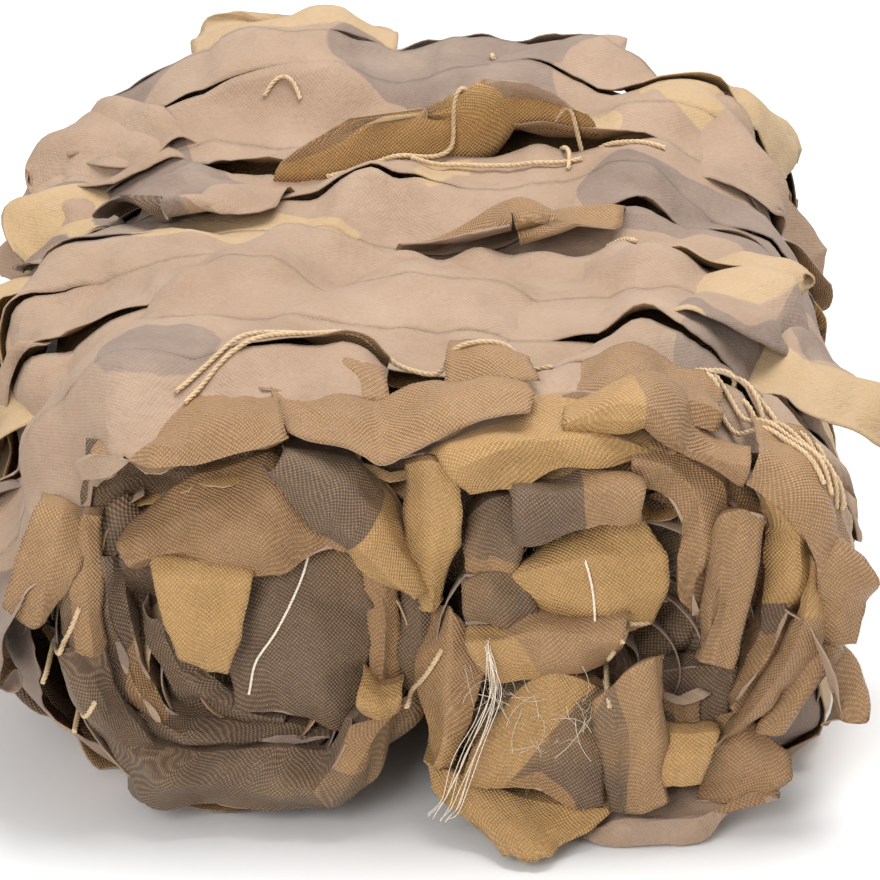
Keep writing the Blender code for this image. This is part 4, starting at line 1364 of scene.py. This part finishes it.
# Ends that hang out of the front: name, points (x, z, distance before the folds).
END_CORDS = (
    ("left_1", ((-98, 46, 0.8), (-95, 51, 1.4), (-91, 58, 1.5), (-88, 66, 0.8))),
    ("left_2", ((-90, 32, 0.8), (-87, 36, 1.4), (-84, 42, 0.8))),
    ("middle", ((-4, 36, 0.8), (0, 41, 1.4), (4, 48, 1.5), (7, 54, 0.8))),
    ("right_up", ((52, 56, 0.6), (50, 51, 1.2), (50.5, 45, 1), (51, 42, 0.4))),
    ("right_cross", ((54, 60, 0.6), (60, 58, 1.2), (68, 59, 1.2), (74, 58, 0.6))),
    ("right_cross_2", ((56, 62, 0.6), (63, 60, 1.0), (72, 61, 0.6))),
)
for name, places in END_CORDS:
    twine("twine_end_" + name, in_front(places), TWINE_THICK)

# ---- Stitches ----------------------------------------------------------------------------------
# Pale sewing thread that closes the cloth over each core, lying loose on the surface.
STITCH_THICK = 0.8
STITCHES = (
    ("stitch_left", ((-28, 79, 0.5), (-29, 74, 0.7), (-33, 66, 0.7), (-38, 56, 0.8), (-40, 54, 0.7),
                     (-43, 50, 0.7), (-43, 45, 0.7), (-44, 40, 0.5))),
    ("stitch_right", ((42, 87, 0.5), (44, 81, 0.7), (46, 75, 0.7), (47, 68, 0.7), (47, 64, 0.5))),
)
for name, places in STITCHES:
    twine(name, in_front(places), STITCH_THICK, finish=stitch_finish)


# ---- Loose fibres --------------------------------------------------------------------------------
# Threads fray out of the torn edges, and a tangle of pale fibres hangs over the right end. A node
# group sets bent hairs along a path, each turned and sized at random.
def fibre_group():
    tree, given = new_group("loose_fibres", ("Spacing", "Length", "Seed"))
    path = node(tree, "GeometryNodeMeshToCurve", Mesh=given["Geometry"])
    line = node(tree, "GeometryNodeResampleCurve", {"mode": "LENGTH"}, Curve=path, Length=given["Spacing"])
    bend = node(tree, "GeometryNodeCurveQuadraticBezier", Resolution=5, Start=(0, 0, 0),
                Middle=(0.5, 0.32, 0.1), End=(1, 0.1, -0.2))
    wire = node(tree, "GeometryNodeCurvePrimitiveCircle", Resolution=3, Radius=0.0065)
    hair = node(tree, "GeometryNodeCurveToMesh", Curve=bend, Profile_Curve=wire)
    turn = tree.nodes.new("FunctionNodeRandomValue")
    turn.data_type = "FLOAT_VECTOR"
    turn.inputs[1].default_value = (2 * math.pi,) * 3
    connect(tree, turn.inputs["Seed"], given["Seed"])
    size = tree.nodes.new("FunctionNodeRandomValue")
    connect(tree, size.inputs[2], given["Length"] * 0.4)
    connect(tree, size.inputs[3], given["Length"])
    connect(tree, size.inputs["Seed"], given["Seed"] + 7)
    set_hairs = node(tree, "GeometryNodeInstanceOnPoints", Points=line, Instance=hair,
                     Rotation=Shade(tree, turn.outputs[0]), Scale=Shade(tree, size.outputs[1]))
    close_group(tree, set_hairs, given["Finish"])
    return tree


hairs = fibre_group()
TANGLE = ((13, 50), (22, 46), (30, 42), (40, 41), (50, 40), (44, 36), (30, 36), (20, 40), (26, 32), (38, 30))
grown("fibres_tangle", curved(in_front([(x, z, 0.6) for x, z in TANGLE])), hairs,
      {"Spacing": 0.0016, "Length": 0.016, "Seed": 3.0}, stitch_finish)
TUFT_HAIRS = 9
HAIR_THICK = 0.24
TUFT = ((19, 58, 1), (20, 52, 2), (21, 44, 3), (18, 34, 3), (13, 24, 3), (9, 13, 3), (6, 8, 3))
loose = np.random.default_rng(5)
for number in range(TUFT_HAIRS):
    shifted = []
    for k, (x, z, before) in enumerate(TUFT):
        fanned = (number - TUFT_HAIRS // 2) * (0.25 + 0.07 * k)
        shifted.append((x + fanned + loose.uniform(-1.1, 1.1), z + loose.uniform(-1, 1), before + number % 3))
    line = np.array(in_front(shifted))
    line[:, 1] = np.minimum(line[:, 1], np.median(line[:, 1]) + 0.002)
    twine(f"tuft_{number + 1}", line, HAIR_THICK, finish=stitch_finish)

# Folds whose edge frays.
FRAYED = (
    "left_hanging_flap", "left_tan_leaf", "left_weave_top", "right_top_strip", "right_curved_band",
    "right_dark_leaf", "right_tuft", "right_bottom_band", "right_tan_flap", "right_standing", "left_curl",
    "right_side_flap",
)
for number, name in enumerate(FRAYED):
    values = {"Spacing": 0.0011, "Length": 0.0034, "Seed": 20.0 + number}
    grown("fray_" + name, edge_lines["fold_" + name], hairs, values, cord_finish)
